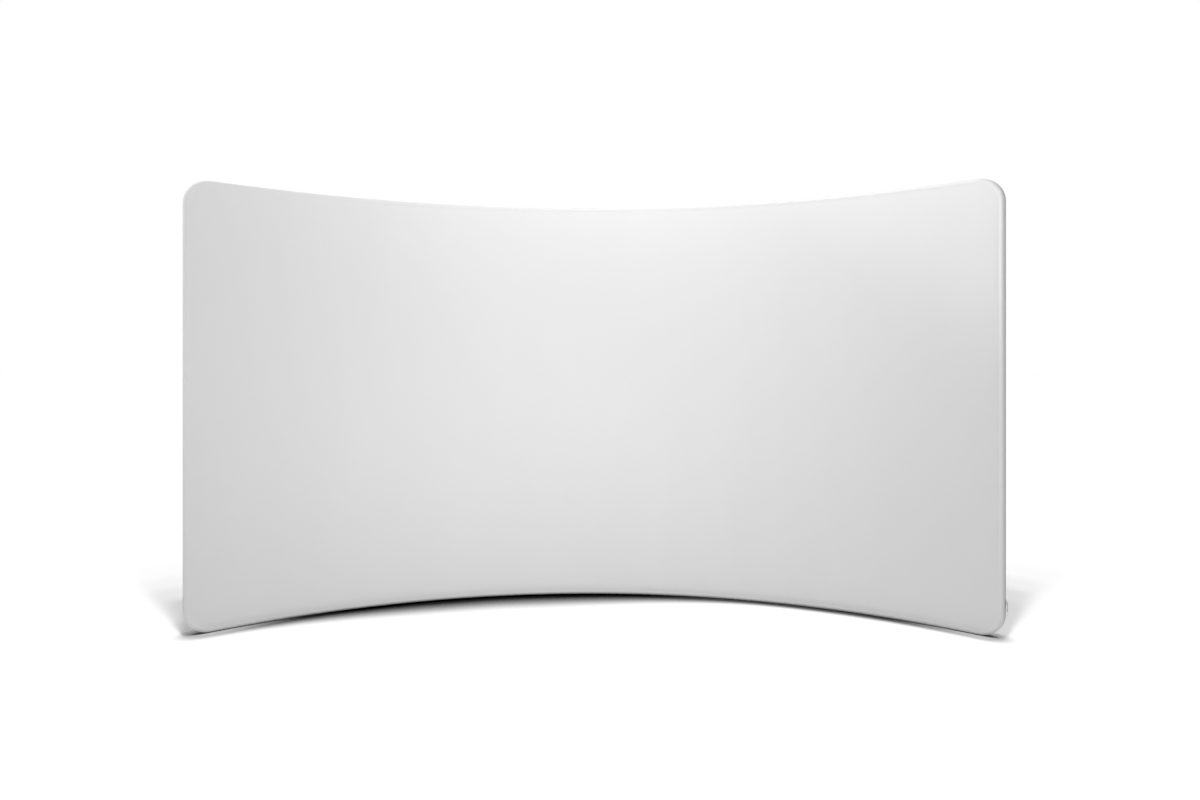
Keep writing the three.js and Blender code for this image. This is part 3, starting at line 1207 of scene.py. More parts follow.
    def saddle_template(self) -> Piece:
        """Models a pole's plastic end.

        Returns:
            The end with its dowel, standing on a rail whose axis is along x through the origin.
        """
        seat, chamfer, radius = 0.009, 0.0008, WALL.tube_radius
        collar, top = self.saddle_collar - seat, self.saddle_top - seat
        plug = radius - WALL.tube_wall - WALL.gap
        body = self._turned("saddle", seat, [
            (radius - chamfer, 0.0), (radius, chamfer), (radius, collar - chamfer),
            (radius - chamfer, collar), (plug, collar), (plug, top - 0.003), (plug - 0.0015, top),
        ])
        rail = cylinder("rail", radius + WALL.gap, Vector((-0.03, 0, 0)), Vector((0.03, 0, 0)), 64)
        combined(body, [rail])
        dowel = self._turned("dowel", 0.0085, [(0.0032, 0.0), (0.004, 0.0012), (0.004, 0.02)])
        return smoothed(combined(body, [dowel], "UNION"))

    @staticmethod
    def _turned(name: str, bottom: float, rings: list[tuple[float, float]]) -> Piece:
        """A round solid drawn upwards from a disc.

        Args:
            name: The solid's name.
            bottom: The height of its lowest face.
            rings: The radius and the height above the bottom of each ring, upwards.

        Returns:
            The solid.
        """
        body = started(name, bpy.ops.mesh.primitive_circle_add, vertices=48, radius=rings[0][0],
                       fill_type="NGON", location=(0, 0, bottom))
        with editing(body, whole=True):
            for (radius, level), (next_radius, next_level) in zip(rings, rings[1:], strict=False):
                extrude((0, 0, next_level - level))
                share = next_radius / radius
                resize((share, share, 1.0), (0, 0, bottom + next_level))
        return outward_faces(body)

    def build(self) -> None:
        """Builds the tubes, buttons and saddles."""
        for length in self.lengths():
            finished(self.tube(length), self.palette.aluminium, "tube_aluminium", length.name)
        self._buttons()
        self._saddles()

    def _buttons(self) -> None:
        """Sets a button in every joint."""
        template = self.button_template()
        for length in self.lengths():
            if not length.joint:
                continue
            place, lean = length.at(WALL.button_from_joint)
            along, out = ahead(lean), inward(lean)
            seat = Matrix.Translation(place) @ axes_matrix(along.cross(out), along, out)
            piece = bent_round(copied(template, f"button_spring_{length.joint}", seat))
            finished(piece, self.palette.steel, "spring_steel", f"snap_button_{length.joint}",
                     body=f"button_{length.joint}")
        bpy.data.objects.remove(template)

    def _saddles(self) -> None:
        """Sets a saddle on the rail at each end of each pole."""
        template = self.saddle_template()
        for name, run in zip(("left", "right"), self.pole_runs(), strict=True):
            foot = Matrix.Translation((run, 0, WALL.low_axis))
            head = Matrix.Translation((run, 0, WALL.high_axis)) @ Matrix.Rotation(math.pi, 4, "X")
            for end, place in (("bottom", foot), ("top", head)):
                piece = bent_round(copied(template, f"{name}_{end}_saddle_moulding", place))
                finished(piece, self.palette.plastic, "saddle_plastic",
                         f"{name}_pole_{end}_saddle")
        bpy.data.objects.remove(template)


def axes_matrix(x: Vector, y: Vector, z: Vector) -> Matrix:
    """The turn that lays x, y and z along three directions."""
    return Matrix((x, y, z)).transposed().to_4x4()


# ---- The cover ----------------------------------------------------------------------------------


class Side(Enum):
    """The two halves of the cover, by the sign of their depth."""

    FRONT = -1
    BACK = 1


@dataclass(frozen=True)
class Ripple:
    """One run of folds round a point: its height, its turn per metre and how it sways."""

    height: float
    rate: float
    phase: float = 0.0
    sway: float = 0.0
    sway_rate: float = 0.0
    sway_phase: float = 0.0

    def at(self, away: Array, round_it: Array) -> Array:
        """The height at distances from the point and at angles round it."""
        sway = self.sway * np.sin(round_it * self.sway_rate + self.sway_phase)
        return self.height * np.sin(away * self.rate + self.phase + sway)


def stops_between(start: float, end: float, step: float, fine: Iterable[float]) -> Array:
    """Even stops with finer ones added.

    Args:
        start: The first stop.
        end: The last stop.
        step: The distance between the even stops, about.
        fine: The stops that are added; an even one too close to them is left out.

    Returns:
        The stops in order.
    """
    added = np.array(sorted(x for x in fine if start < x < end))
    even = np.linspace(start, end, max(2, round((end - start) / step) + 1))
    if len(added):
        inner = even[1:-1]
        near = np.abs(inner[:, None] - added[None, :]).min(axis=1)
        even = np.concatenate([even[:1], inner[near > step * 0.35], even[-1:]])
    return np.unique(np.concatenate([even, added]))


@dataclass(frozen=True)
class Cover:
    """The two cloth halves, sewn along the middle of the tube and zipped below."""

    palette: Palette
    cell: float = 0.021
    hem_rings: int = 9
    thickness: float = 0.0006
    edge_softness: float = 0.006
    fold_height: float = 0.00035
    fold_margin: float = 0.25
    fold_centre: tuple[float, float] = (-2.3, -0.2)
    rim_dip: float = 0.0010
    rim_dip_at: float = 0.011
    border: tuple[float, ...] = (0.003, 0.007, 0.013, 0.021, 0.032, 0.047, 0.066, 0.089)
    joint_offsets: tuple[float, ...] = (-0.009, -0.005, -0.002, 0.0, 0.002, 0.005, 0.009)
    joint_groove: float = 0.0005
    joint_ridge: float = 0.0003
    pole_offsets: tuple[float, ...] = (
        -0.030, -0.018, -0.010, -0.005, -0.002, 0.002, 0.005, 0.010, 0.018, 0.030,
    )
    zip_offsets: tuple[float, ...] = (-0.004, 0.0, 0.003, 0.008)
    tuck: float = 0.0005
    ripples: tuple[Ripple, ...] = (
        Ripple(1.0, 28.0, 0.0, 1.2, 3.0),
        Ripple(0.6, 43.0, 1.3, 0.9, 4.0, 2.0),
        Ripple(0.5, 15.3, 2.6),
    )

    def run_stops(self, side: Side) -> Array:
        """Spaces the field's columns.

        Args:
            side: The half of the cover.

        Returns:
            The columns' runs, from end to end.
        """
        fine = [joint + offset for joint in WALL.rail_joints for offset in self.joint_offsets]
        if side is Side.BACK:
            fine += [run + offset for run in Frame.pole_runs() for offset in self.pole_offsets]
        inner = stops_between(-WALL.straight_run, WALL.straight_run, self.cell, fine)
        edges = np.array([0.0, *self.border])
        return np.concatenate([-WALL.half_run + edges, inner, (WALL.half_run - edges)[::-1]])

    def level_stops(self) -> Array:
        """Spaces the field's rows.

        Returns:
            The rows' heights, from bottom to top.
        """
        fine = [joint + offset for joint in WALL.upright_joints for offset in self.joint_offsets]
        fine += [WALL.zip_top + offset for offset in self.zip_offsets]
        inner = stops_between(WALL.low_corner, WALL.high_corner, self.cell, fine)
        edges = np.array([0.0, *self.border])
        return np.concatenate([WALL.low_axis + edges, inner, (WALL.high_axis - edges)[::-1]])

    @staticmethod
    def rounded(run: Array, level: Array) -> tuple[Array, Array]:
        """Draws the four square corners of a grid in to the frame's round ones.

        Args:
            run: Runs of the grid's corners.
            level: Their heights.

        Returns:
            The new runs and heights.
        """
        bend, middle = WALL.bend, WALL.middle
        u = (np.abs(run) - WALL.straight_run) / bend
        v = (np.abs(level - middle) - WALL.straight_rise) / bend
        corner = (u > 0) & (v > 0)
        drawn_u = np.where(corner, u * np.sqrt(np.clip(1 - v * v / 2, 0, 1)), u)
        drawn_v = np.where(corner, v * np.sqrt(np.clip(1 - u * u / 2, 0, 1)), v)
        new_run = np.where(corner, np.sign(run) * (WALL.straight_run + bend * drawn_u), run)
        up = WALL.straight_rise + bend * drawn_v
        new_level = np.where(corner, middle + np.sign(level - middle) * up, level)
        return new_run, new_level

    def eased(self, distance: Array) -> Array:
        """A distance from the edge that starts level, as cloth does where it leaves a tube."""
        soft = self.edge_softness
        return np.sqrt(distance**2 + soft**2) - soft

    def drawn(self, run: Array, level: Array, side: Side) -> Array:
        """How far the tight cloth is drawn towards the hollow side.

        Args:
            run: Runs of the field's corners.
            level: Their heights.
            side: The half of the cover.

        Returns:
            The distance for each corner.
        """
        half = WALL.half_rise
        above = self.eased(np.clip(half - np.abs(level - WALL.middle), 0, None))
        rise = 1 - (1 - np.clip(above / half, 0, 1)) ** 2
        if side is Side.FRONT:
            inside = self.eased(np.clip(WALL.half_run - np.abs(run), 0, None)) / WALL.half_run
            return WALL.front_bow * rise * (1 - (1 - inside) ** 4)
        pole = WALL.pole_run
        bays = ((-WALL.half_run, -pole), (-pole, pole), (pole, WALL.half_run))
        dip = np.zeros_like(run)
        for start, end in bays:
            across = (2 * run - start - end) / (end - start)
            dip = np.where((run >= start) & (run <= end), 1 - across**2, dip)
        sunk = WALL.back_dip * rise * dip
        for at in Frame.pole_runs():
            past = np.abs(run - at)
            touching = WALL.cloth_radius - np.sqrt(np.clip(WALL.cloth_radius**2 - past**2, 0, None))
            sunk = np.where(past < WALL.cloth_radius, np.minimum(sunk, touching), sunk)
        return sunk

    def folds(self, run: Array, level: Array) -> Array:
        """Makes shallow folds round the lower left corner, where the cloth is pulled on last.

        Args:
            run: Runs of the field's corners.
            level: Their heights.

        Returns:
            How far each corner is drawn forwards.
        """
        start_run, start_level = self.fold_centre
        away = np.hypot(run - start_run, level - start_level)
        round_it = np.arctan2(level - start_level, run - start_run)
        waves = sum(ripple.at(away, round_it) for ripple in self.ripples)
        patches = np.exp(-(((away - 1.7) / 1.1) ** 2)) * (0.7 + 0.3 * np.sin(round_it * 5.0 + 0.6))
        free = np.clip((WALL.half_rise - np.abs(level - WALL.middle)) / self.fold_margin, 0, 1)
        free = free * np.clip((WALL.half_run - np.abs(run)) / self.fold_margin, 0, 1)
        return self.fold_height * waves * patches * free**2

    @staticmethod
    def past_corner(run: Array, level: Array) -> tuple[Array, Array]:
        """How far each place is past the ends of a rail's and an upright's straight."""
        return np.abs(run) - WALL.straight_run, np.abs(level - WALL.middle) - WALL.straight_rise

    def hollow(self, run: Array, level: Array) -> Array:
        """Makes the slight hollow just inside the tube, where the hem draws on the cloth.

        Args:
            run: Runs of the field's corners.
            level: Their heights.

        Returns:
            How far each corner is drawn back.
        """
        u, v = self.past_corner(run, level)
        past = np.hypot(np.clip(u, 0, None), np.clip(v, 0, None)) + np.minimum(np.maximum(u, v), 0)
        share = np.clip(WALL.bend - past, 0, None) / self.rim_dip_at
        return self.rim_dip * share**2 * np.exp(1 - share**2)

    def joint_marks(self, run: Array, level: Array) -> Array:
        """Marks the tubes' joints, each with a line between two low ridges.

        Args:
            run: Runs of places on the frame's axis.
            level: Their heights.

        Returns:
            How far out the cloth stands at each.
        """
        marks = np.zeros_like(run)
        u, v = self.past_corner(run, level)
        ways = ((run, WALL.rail_joints, u < 0), (level, WALL.upright_joints, v < 0))
        for place, joints, over in ways:
            for joint in joints:
                off = np.abs(place - joint)
                groove = self.joint_groove * np.exp(-((off / 0.0016) ** 2))
                ridge = self.joint_ridge * np.exp(-(((off - 0.004) / 0.0025) ** 2))
                marks += np.where(over, ridge - groove, 0.0)
        return marks

    def panel(self, side: Side) -> Piece:
        """Makes one half of the cover as a sheet, turned over the tubes as far as the seam.

        Args:
            side: Which half.

        Returns:
            The sheet, solid and bent round the wall's curve.
        """
        runs, levels = self.run_stops(side), self.level_stops()
        square_run, square_level = np.meshgrid(runs, levels)
        run, level = self.rounded(square_run, square_level)
        forward = self.drawn(run, level, side) + self.folds(run, level)
        if side is Side.FRONT:
            forward = forward - self.hollow(run, level)
        depth = side.value * WALL.cloth_radius - forward
        field_points = np.stack([run, depth, level], axis=-1).reshape(-1, 3)
        field_flat = np.stack([run, level], axis=-1).reshape(-1, 2)

        rows, columns = run.shape
        rim = self._rim(rows, columns)
        rim_run, rim_level = run.ravel()[rim], level.ravel()[rim]
        out = self._outward(rim_run, rim_level)
        marks = self.joint_marks(rim_run, rim_level)
        last_angle = self._seam_angle(rim_run, rim_level)
        points, flats = [field_points], [field_flat]
        for k in range(1, self.hem_rings + 1):
            share = k / self.hem_rings
            angle = QUARTER + (last_angle - QUARTER) * share
            radius = WALL.cloth_radius + marks * np.sin(share * QUARTER) - self.tuck * share**8
            reach = radius * np.cos(angle)
            ring = np.stack([
                rim_run + out[:, 0] * reach, side.value * radius * np.sin(angle),
                rim_level + out[:, 1] * reach,
            ], axis=-1)
            points.append(ring)
            arc = WALL.cloth_radius * (QUARTER - angle)
            flats.append(np.stack([rim_run, rim_level], axis=-1) + out * np.reshape(arc, (-1, 1)))
        faces = self._faces(rows, columns, rim, len(field_points))
        if side is Side.BACK:
            faces = faces[:, ::-1]
        piece = sheet_object(f"{side.name.lower()}_cloth", np.concatenate(points), faces,
                             np.concatenate(flats))
        modified(piece, "SOLIDIFY", thickness=self.thickness, offset=-1.0)
        focus(piece)
        bpy.ops.object.shade_smooth()
        return bent_round(piece)

    @staticmethod
    def _rim(rows: int, columns: int) -> Array:
        """The numbers of the field's outer corners, anticlockwise from the bottom left."""
        grid = np.arange(rows * columns).reshape(rows, columns)
        return np.concatenate([grid[0, :-1], grid[:-1, -1], grid[-1, :0:-1], grid[:0:-1, 0]])

    def _outward(self, run: Array, level: Array) -> Array:
        """Finds the outward directions at places on the frame's axis.

        Args:
            run: The places' runs.
            level: Their heights.

        Returns:
            Rows of run and height, of length 1.
        """
        u, v = (np.clip(past, 0, None) for past in self.past_corner(run, level))
        direction = np.stack([np.sign(run) * u, np.sign(level - WALL.middle) * v], axis=-1)
        return direction / np.linalg.norm(direction, axis=1, keepdims=True)

    @staticmethod
    def _seam_angle(run: Array, level: Array) -> Array:
        """Finds where each place's last ring lies round the tube: at the seam, or beside the zip.

        Args:
            run: The places' runs.
            level: Their heights.

        Returns:
            The angle from the tube's outermost line.
        """
        on_side = np.abs(run) > WALL.straight_run
        zipped = (level < WALL.zip_top + 0.001) & ((level < WALL.low_corner) | on_side)
        beside_zip = (WALL.zip_half_width + WALL.gap) / WALL.cloth_radius
        at_seam = WALL.gap / 2 / WALL.cloth_radius
        return np.arcsin(np.where(zipped, beside_zip, at_seam))

    def _faces(self, rows: int, columns: int, rim: Array, first: int) -> Array:
        """Joins the corners of the field and of the rings round it.

        Args:
            rows: How many rows the field has.
            columns: How many columns.
            rim: The numbers of the field's outer corners.
            first: The number of the first ring's first corner.

        Returns:
            The quads, facing the hollow side.
        """
        grid = np.arange(rows * columns).reshape(rows, columns)
        quads = [np.stack([
            grid[:-1, :-1], grid[:-1, 1:], grid[1:, 1:], grid[1:, :-1],
        ], axis=-1).reshape(-1, 4)]
        inner = rim
        for k in range(self.hem_rings):
            outer = first + k * len(rim) + np.arange(len(rim))
            quads.append(np.stack([inner, outer, np.roll(outer, -1), np.roll(inner, -1)], axis=-1))
            inner = outer
        return np.concatenate(quads)

    def flat_size(self) -> tuple[tuple[float, float], float]:
        """Works out what one half is cut to.

        Returns:
            Its width and height, and its area.
        """
        turn = QUARTER * WALL.cloth_radius
        width = 2 * (WALL.half_run + turn)
        height = WALL.high_axis - WALL.low_axis + 2 * turn
        corner = WALL.bend + turn
        return (width, height), width * height - (4 - math.pi) * corner**2

    def build(self) -> dict[Side, Piece]:
        """Builds both halves.

        Returns:
            The halves by side.
        """
        halves = {}
        for side in Side:
            node = f"cover_{side.name.lower()}"
            halves[side] = finished(self.panel(side), self.palette.cloth, "stretch_cloth", node)
        return halves

    def declare(self) -> None:
        """Works out the size and area that each half is cut to, and does nothing more with them.
        """
        size, area = self.flat_size()


def sheet_object(name: str, points: Array, faces: Array, flat: Array) -> Piece:
    """Makes a mesh object from corners and quads, with a UV map named cloth.

    Args:
        name: The object's name.
        points: One row of three per corner.
        faces: One row of four corners per quad.
        flat: One row of two per corner, the place on the cloth as it was cut.

    Returns:
        The object.
    """
    piece = mesh_object(name, points, faces.tolist())
    corner = np.zeros(len(piece.data.loops), dtype=np.int64)
    piece.data.loops.foreach_get("vertex_index", corner)
    layer = piece.data.uv_layers.new(name="cloth")
    layer.data.foreach_set("uv", flat[corner].astype(np.float32).ravel())
    piece.data.update()
    return piece


# ---- The zip ------------------------------------------------------------------------------------


@dataclass(frozen=True)
class Zip:
    """The zip along the bottom seam: two tapes with their coils, stitches, slider and stops."""

    palette: Palette
    pitch: float = 0.0016
    coil_height: float = 0.00055
    coil_reach: float = 0.0021
    tape_thickness: float = 0.00035
    stitch_pitch: float = 0.004
    stitch_length: float = 0.0028
    stitch_radius: float = 0.00022
    stitch_depth: float = 0.0056
    plate_thickness: float = 0.0022
    plate_half_length: float = 0.0085
    plate_half_width: float = 0.005
    plate_heel: float = 0.0034
    pull_out: float = 0.0072
    pull_thickness: float = 0.0014
    pull_width: float = 0.008
    pull_length: float = 0.046
    pull_bar: float = 0.0011
    stop_length: float = 0.003
    stop_thickness: float = 0.0011
    stop_below_top: float = 0.003
    tape_step: float = 0.012
    coil_start: float = 0.00012
    coil_wire_share: float = 0.29
    arch_reach: float = 0.00475
    arch_half_width: float = 0.0013
    arch_half_depth: float = 0.0006
    arch_crown: float = 0.0026
    arch_root: float = 0.0004
    window_half_width: float = 0.0022
    window_end: float = 0.010
    eye_radius: float = 0.0016
    eye_from_tail: float = 0.0042
    grip_start: float = 0.016
    grip_pitch: float = 0.0032
    grip_grooves: int = 5
    groove_radius: float = 0.0009
    groove_half_width: float = 0.0026
    groove_out: float = 0.0006

    def path(self, places: Array) -> tuple[Array, Array, Array]:
        """Follows the frame's axis from the zip's top on the right round to the left.

        Args:
            places: Distances from the zip's top at the right.

        Returns:
            The run and the height of each place, and its lean: the turn of the outward
            direction from straight up, clockwise.
        """
        right = np.where(places < self.length / 2, 1.0, -1.0)
        past = np.minimum(places, self.length - places) - (WALL.zip_top - WALL.low_corner)
        angle = np.clip(past / WALL.bend, 0, QUARTER)
        on_rail = np.clip(past - QUARTER * WALL.bend, 0, None)
        run = right * (WALL.straight_run + WALL.bend * np.cos(angle) - on_rail)
        level = WALL.low_corner - WALL.bend * np.sin(angle) - np.clip(past, None, 0)
        return run, level, right * (QUARTER + angle)

    @property
    def length(self) -> float:
        """The zip's length from top to top."""
        return 2 * (WALL.zip_top - WALL.low_corner) + math.pi * WALL.bend + 2 * WALL.straight_run

    def laid(self, along: Array, depth: Array, outward: Array) -> Array:
        """Places points beside the zip's path, on the flat wall.

        Args:
            along: Distances along the zip.
            depth: Depths behind the wall's middle surface.
            outward: Distances outward from the frame's axis.

        Returns:
            Rows of run, depth and height.
        """
        run, level, lean = self.path(along)
        aside, up = outward * np.sin(lean), outward * np.cos(lean)
        return np.stack([run + aside, depth, level + up], axis=-1)

    def repeated(self, template: Piece, pitch: float, side: Side, shift: Sequence[float]) -> Piece:
        """Repeats a small shape all along one half of the zip, and removes the template.

        Args:
            template: The shape: x is depth, y along the zip, z outward from the frame's axis.
            pitch: The distance from one to the next.
            side: The half of the zip; the front half's shape is mirrored.
            shift: How far the shape is moved first.

        Returns:
            The row, bent round the wall's curve and named after the template.
        """
        corners = (corners_of(template) + shift) * [side.value, 1, 1]
        faces = [list(face.vertices) for face in template.data.polygons]
        count = int(self.length / pitch) - 1
        steps = (np.arange(count) + 0.75) * pitch
        along = (corners[None, :, 1] + steps[:, None]).ravel()
        points = self.laid(along, np.tile(corners[:, 0], count), np.tile(corners[:, 2], count))
        every = [[k * len(corners) + corner for corner in face]
                 for k in range(count) for face in faces]
        name = f"{template.name}_{side.name.lower()}"
        bpy.data.objects.remove(template)
        return outward_faces(mesh_object(name, WALL.bent(points), every))

    def tape(self, side: Side) -> Piece:
        """Makes one woven tape under the coil.

        Args:
            side: The half of the zip.

        Returns:
            A flat ribbon, turned down a little at its outer edge.
        """
        steps = np.arange(0.0, self.length, self.tape_step)
        along = np.concatenate([steps, [self.length]])
        base, thick = WALL.tube_radius + WALL.gap, self.tape_thickness
        inner, outer, clear = WALL.gap / 2, WALL.zip_half_width, 0.00005
        section = np.array([
            [inner, base + clear], [inner, base + thick], [outer * 0.7, base + thick],
            [outer, base + thick * 0.8], [outer, base + clear],
        ])
        grid_along, grid_depth = np.meshgrid(along, section[:, 0], indexing="ij")
        grid_out = np.broadcast_to(section[:, 1], grid_depth.shape)
        points = self.laid(grid_along.ravel(), side.value * grid_depth.ravel(), grid_out.ravel())
        rows, wide = grid_along.shape
        corner = np.arange(rows * wide).reshape(rows, wide)
        beside = np.roll(corner, -1, axis=1)
        quads = np.stack([corner[:-1], beside[:-1], beside[1:], corner[1:]], axis=-1).reshape(-1, 4)
        ends = [corner[0][::-1].tolist(), corner[-1].tolist()]
        name = f"tape_{side.name.lower()}"
        return outward_faces(mesh_object(name, WALL.bent(points), quads.tolist() + ends))

    def coil(self, side: Side) -> Piece:
        """Makes one half of the coil.

        Args:
            side: The half of the zip.

        Returns:
            A row of small arched turns.
        """
        base = WALL.tube_radius + WALL.gap + self.tape_thickness * 0.6
        start, end = self.coil_start, self.coil_start + self.coil_reach
        half = self.pitch * self.coil_wire_share
        turn = quad("coil", lambda x, y: (start if x < 0 else end, half * y, base))
        with editing(turn, "FACE", whole=True):
            extrude((0, 0, self.coil_height * 0.6))
            extrude((0, 0, self.coil_height * 0.4))
            resize((0.8, 0.5, 1.0), (start + self.coil_reach / 2, 0, base + self.coil_height))
        return self.repeated(turn, self.pitch, side, (0.0, self.pitch / 4 * side.value, 0.0))

    def stitches(self, side: Side) -> Piece:
        """Makes the lock stitches that hold one cloth edge to its tape.

        Args:
            side: The half of the zip.

        Returns:
            The row of stitches.
        """
        angle = math.asin(self.stitch_depth / WALL.cloth_radius)
        out = WALL.cloth_radius * math.cos(angle)
        length, radius = self.stitch_length, self.stitch_radius
        stitch = started(
            "zip_stitches", bpy.ops.mesh.primitive_circle_add, vertices=5, radius=radius * 0.5,
            fill_type="NGON", location=(0, -length / 2, out), rotation=(QUARTER, 0, 0),
        )
        with editing(stitch, "FACE", whole=True):
            extrude((0, length * 0.22, radius * 0.4))
            resize(2.0, (0, -length * 0.28, out + radius * 0.4))
            extrude((0, length * 0.56, 0))
            extrude((0, length * 0.22, -radius * 0.4))
            resize(0.5, (0, length / 2, out))
        return self.repeated(stitch, self.stitch_pitch, side, (self.stitch_depth, 0.0, 0.0))

    def slider_place(self) -> Matrix:
        """Finds the slider's place from the pull's joint.

        Returns:
            The place, with x towards the hollow side, y down the zip and z outward.
        """
        swing = next(joint for joint in frame["joints"] if joint["name"] == "pull_swing")
        fore = Vector(swing["axis"])
        down = Vector((0, 0, -1))
        pivot = Matrix.Translation(Vector(swing["pos_m"]))
        return pivot @ axes_matrix(fore, down, fore.cross(down))

    def plate(self) -> Piece:
        """Models the slider's body, from the pull's pivot.

        Returns:
            A shield-shaped plate with an arch on it.
        """
        low = WALL.gap - self.pull_out
        wide, long, heel = self.plate_half_width, self.plate_half_length, self.plate_heel
        piece = quad("zip_slider_body", lambda x, y: ((wide if y < 0 else heel) * x, long * y, low))
        with editing(piece, "EDGE"):
            pick(piece, lambda at: abs(at.x) > heel * 0.9, "EDGE")
            bpy.ops.mesh.subdivide(number_cuts=2)
            pick(piece, lambda at: -long * 0.9 < at.y < long * 0.2)
            resize((1.18, 1.0, 1.0), (0, 0, low))
        with editing(piece, "FACE", whole=True):
            extrude((0, 0, self.plate_thickness * 0.65))
            extrude((0, 0, self.plate_thickness * 0.35))
            resize((0.86, 0.9, 1.0), (0, 0, low + self.plate_thickness))
        bevelled(outward_faces(piece), 0.0004, 3, 25)
        return smoothed(combined(piece, [self._arch(low + self.plate_thickness)], "UNION"))

    def _arch(self, foot: float) -> Piece:
        """Models the arch that the pull hangs from.

        Args:
            foot: The height of the plate's face.

        Returns:
            The arch, spun from a square foot that is sunk into the plate.
        """
        half_width, half_depth = self.arch_half_width, self.arch_half_depth
        reach, root = self.arch_reach, foot - self.arch_root
        centre = self.arch_crown - half_depth - reach
        arch = quad("arch", lambda x, y: (half_width * x, half_depth * y - reach, root))
        with editing(arch, "FACE", whole=True):
            extrude((0, 0, centre - root))
            bpy.ops.mesh.spin(steps=14, angle=math.pi, center=(0, 0, centre), axis=(1, 0, 0))
            extrude((0, 0, root - centre))
        return bevelled(outward_faces(arch), 0.00035, 2, 50)

    def pull(self) -> Piece:
        """Models the tab, from its pivot.

        Returns:
            A plate that is round at the tail, with a window for the arch, an eye and grooves.
        """
        half, tail = self.pull_width / 2, self.pull_length - self.pull_bar
        bar, thick = -self.pull_bar, self.pull_thickness
        piece = quad("zip_pull_tab", lambda x, y: (half * x, bar if y < 0 else tail, -thick / 2))
        with editing(piece):
            pick(piece, lambda at: at.y > 0)
            bpy.ops.mesh.bevel(offset=half * 0.98, segments=10, affect="VERTICES")
            pick(piece, lambda at: at.y < 0)
            bpy.ops.mesh.bevel(offset=half * 0.45, segments=5, affect="VERTICES")
        with editing(piece, "FACE", whole=True):
            extrude((0, 0, thick))
        outward_faces(piece)
        eye_at = tail - self.eye_from_tail
        eye = cylinder("eye", self.eye_radius, Vector((0, eye_at, -0.01)),
                       Vector((0, eye_at, 0.01)), 24)
        grip = [self._groove(self.grip_start + self.grip_pitch * k, sign)
                for k in range(self.grip_grooves) for sign in (-1, 1)]
        combined(piece, [self._window(), eye, *grip])
        return smoothed(bevelled(piece, 0.00025, 2, 50))

    def _window(self) -> Piece:
        """The block that cuts the pull's window, rounded at its edges."""
        start, end = self.pull_bar, self.window_end
        return bevelled(started(
            "window", bpy.ops.mesh.primitive_cube_add, size=1.0, location=(0, (start + end) / 2, 0),
            scale=(2 * self.window_half_width, end - start, 0.02),
        ), 0.0008, 4, 50)

    def _groove(self, at: float, sign: int) -> Piece:
        """The rod that cuts a shallow groove across one face of the tab, for the fingers."""
        side, level = self.groove_half_width, sign * (self.pull_thickness / 2 + self.groove_out)
        return cylinder("groove", self.groove_radius, Vector((-side, at, level)),
                        Vector((side, at, level)), 16)

    def stop(self, name: str, centre: float, half_width: float) -> Piece:
        """A small folded metal stop, lying across the coil.

        Args:
            name: The stop's name.
            centre: The middle of its depth.
            half_width: Half of its size across the zip.

        Returns:
            The stop, with z outward from the frame's axis and y along the zip.
        """
        level = WALL.cloth_radius + WALL.gap + self.stop_thickness / 2
        piece = started(
            name, bpy.ops.mesh.primitive_cube_add, size=1.0, location=(centre, 0, level),
            scale=(2 * half_width, self.stop_length, self.stop_thickness),
        )
        with editing(piece, "FACE"):
            pick(piece, lambda at: at.z > level + self.stop_thickness * 0.45, "FACE")
            bpy.ops.mesh.inset(thickness=0.0004)
            extrude((0, 0, -0.00025))
        return smoothed(bevelled(outward_faces(piece), 0.00018, 3, 40))

    def build(self) -> dict[Side, list[Piece]]:
        """Builds the zip.

        Returns:
            The trims that each half of the cover carries.
        """
        trims: dict[Side, list[Piece]] = {side: [] for side in Side}
        for side in Side:
            end = side.name.lower()
            tape, coil = self.tape(side), self.coil(side)
            focus(tape)
            coil.select_set(True)
            bpy.ops.object.join()
            tape.name = f"zip_{end}_tape_and_coil"
            trims[side].append(finished(tape, self.palette.tape, "zip_tape", f"zip_tape_{end}"))
            trims[side].append(finished(self.stitches(side), self.palette.thread, "zip_tape"))
        place = self.slider_place()
        for piece, node in ((self.plate(), "zip_slider"), (self.pull(), "zip_pull")):
            piece.data.transform(place)
            finished(piece, self.palette.zinc, "zip_metal", node, body=node)
        self._stops()
        return trims

    def _stops(self) -> None:
        """Sets the two top stops at the right, and the joined one at the left."""
        width = (WALL.zip_half_width - WALL.gap) / 2
        seats = [(f"zip_end_stop_{side.name.lower()}", side.value * (width + WALL.gap / 2), width,
                  self.stop_below_top) for side in Side]
        far = self.length - self.stop_below_top
        seats.append(("zip_start_stop", 0.0, WALL.zip_half_width, far))
        for node, centre, half_width, along in seats:
            piece = self.stop(node + "_clip", centre, half_width)
            corners = corners_of(piece)
            flat = self.laid(corners[:, 1] + along, corners[:, 0], corners[:, 2])
            reshape(piece, WALL.bent(flat))
            finished(outward_faces(piece), self.palette.zinc, "zip_metal", node)


# ---- The studio ---------------------------------------------------------------------------------


class Lit(Enum):
    """The collections of pieces that lamps are linked to."""

    HOLLOW_SIDE = "lit_hollow_side"
    BACK = "lit_back"
    FLOOR = "lit_floor"

    def gather(self, pieces: Iterable[Piece]) -> None:
        """Makes the collection.

        Args:
            pieces: What it holds.
        """
        collection = bpy.data.collections.new(self.value)
        for piece in pieces:
            collection.objects.link(piece)

    def light(self, lamp: Piece) -> None:
        """Links a lamp to the collection, so that it lights nothing else."""
        lamp.light_linking.receiver_collection = bpy.data.collections[self.value]


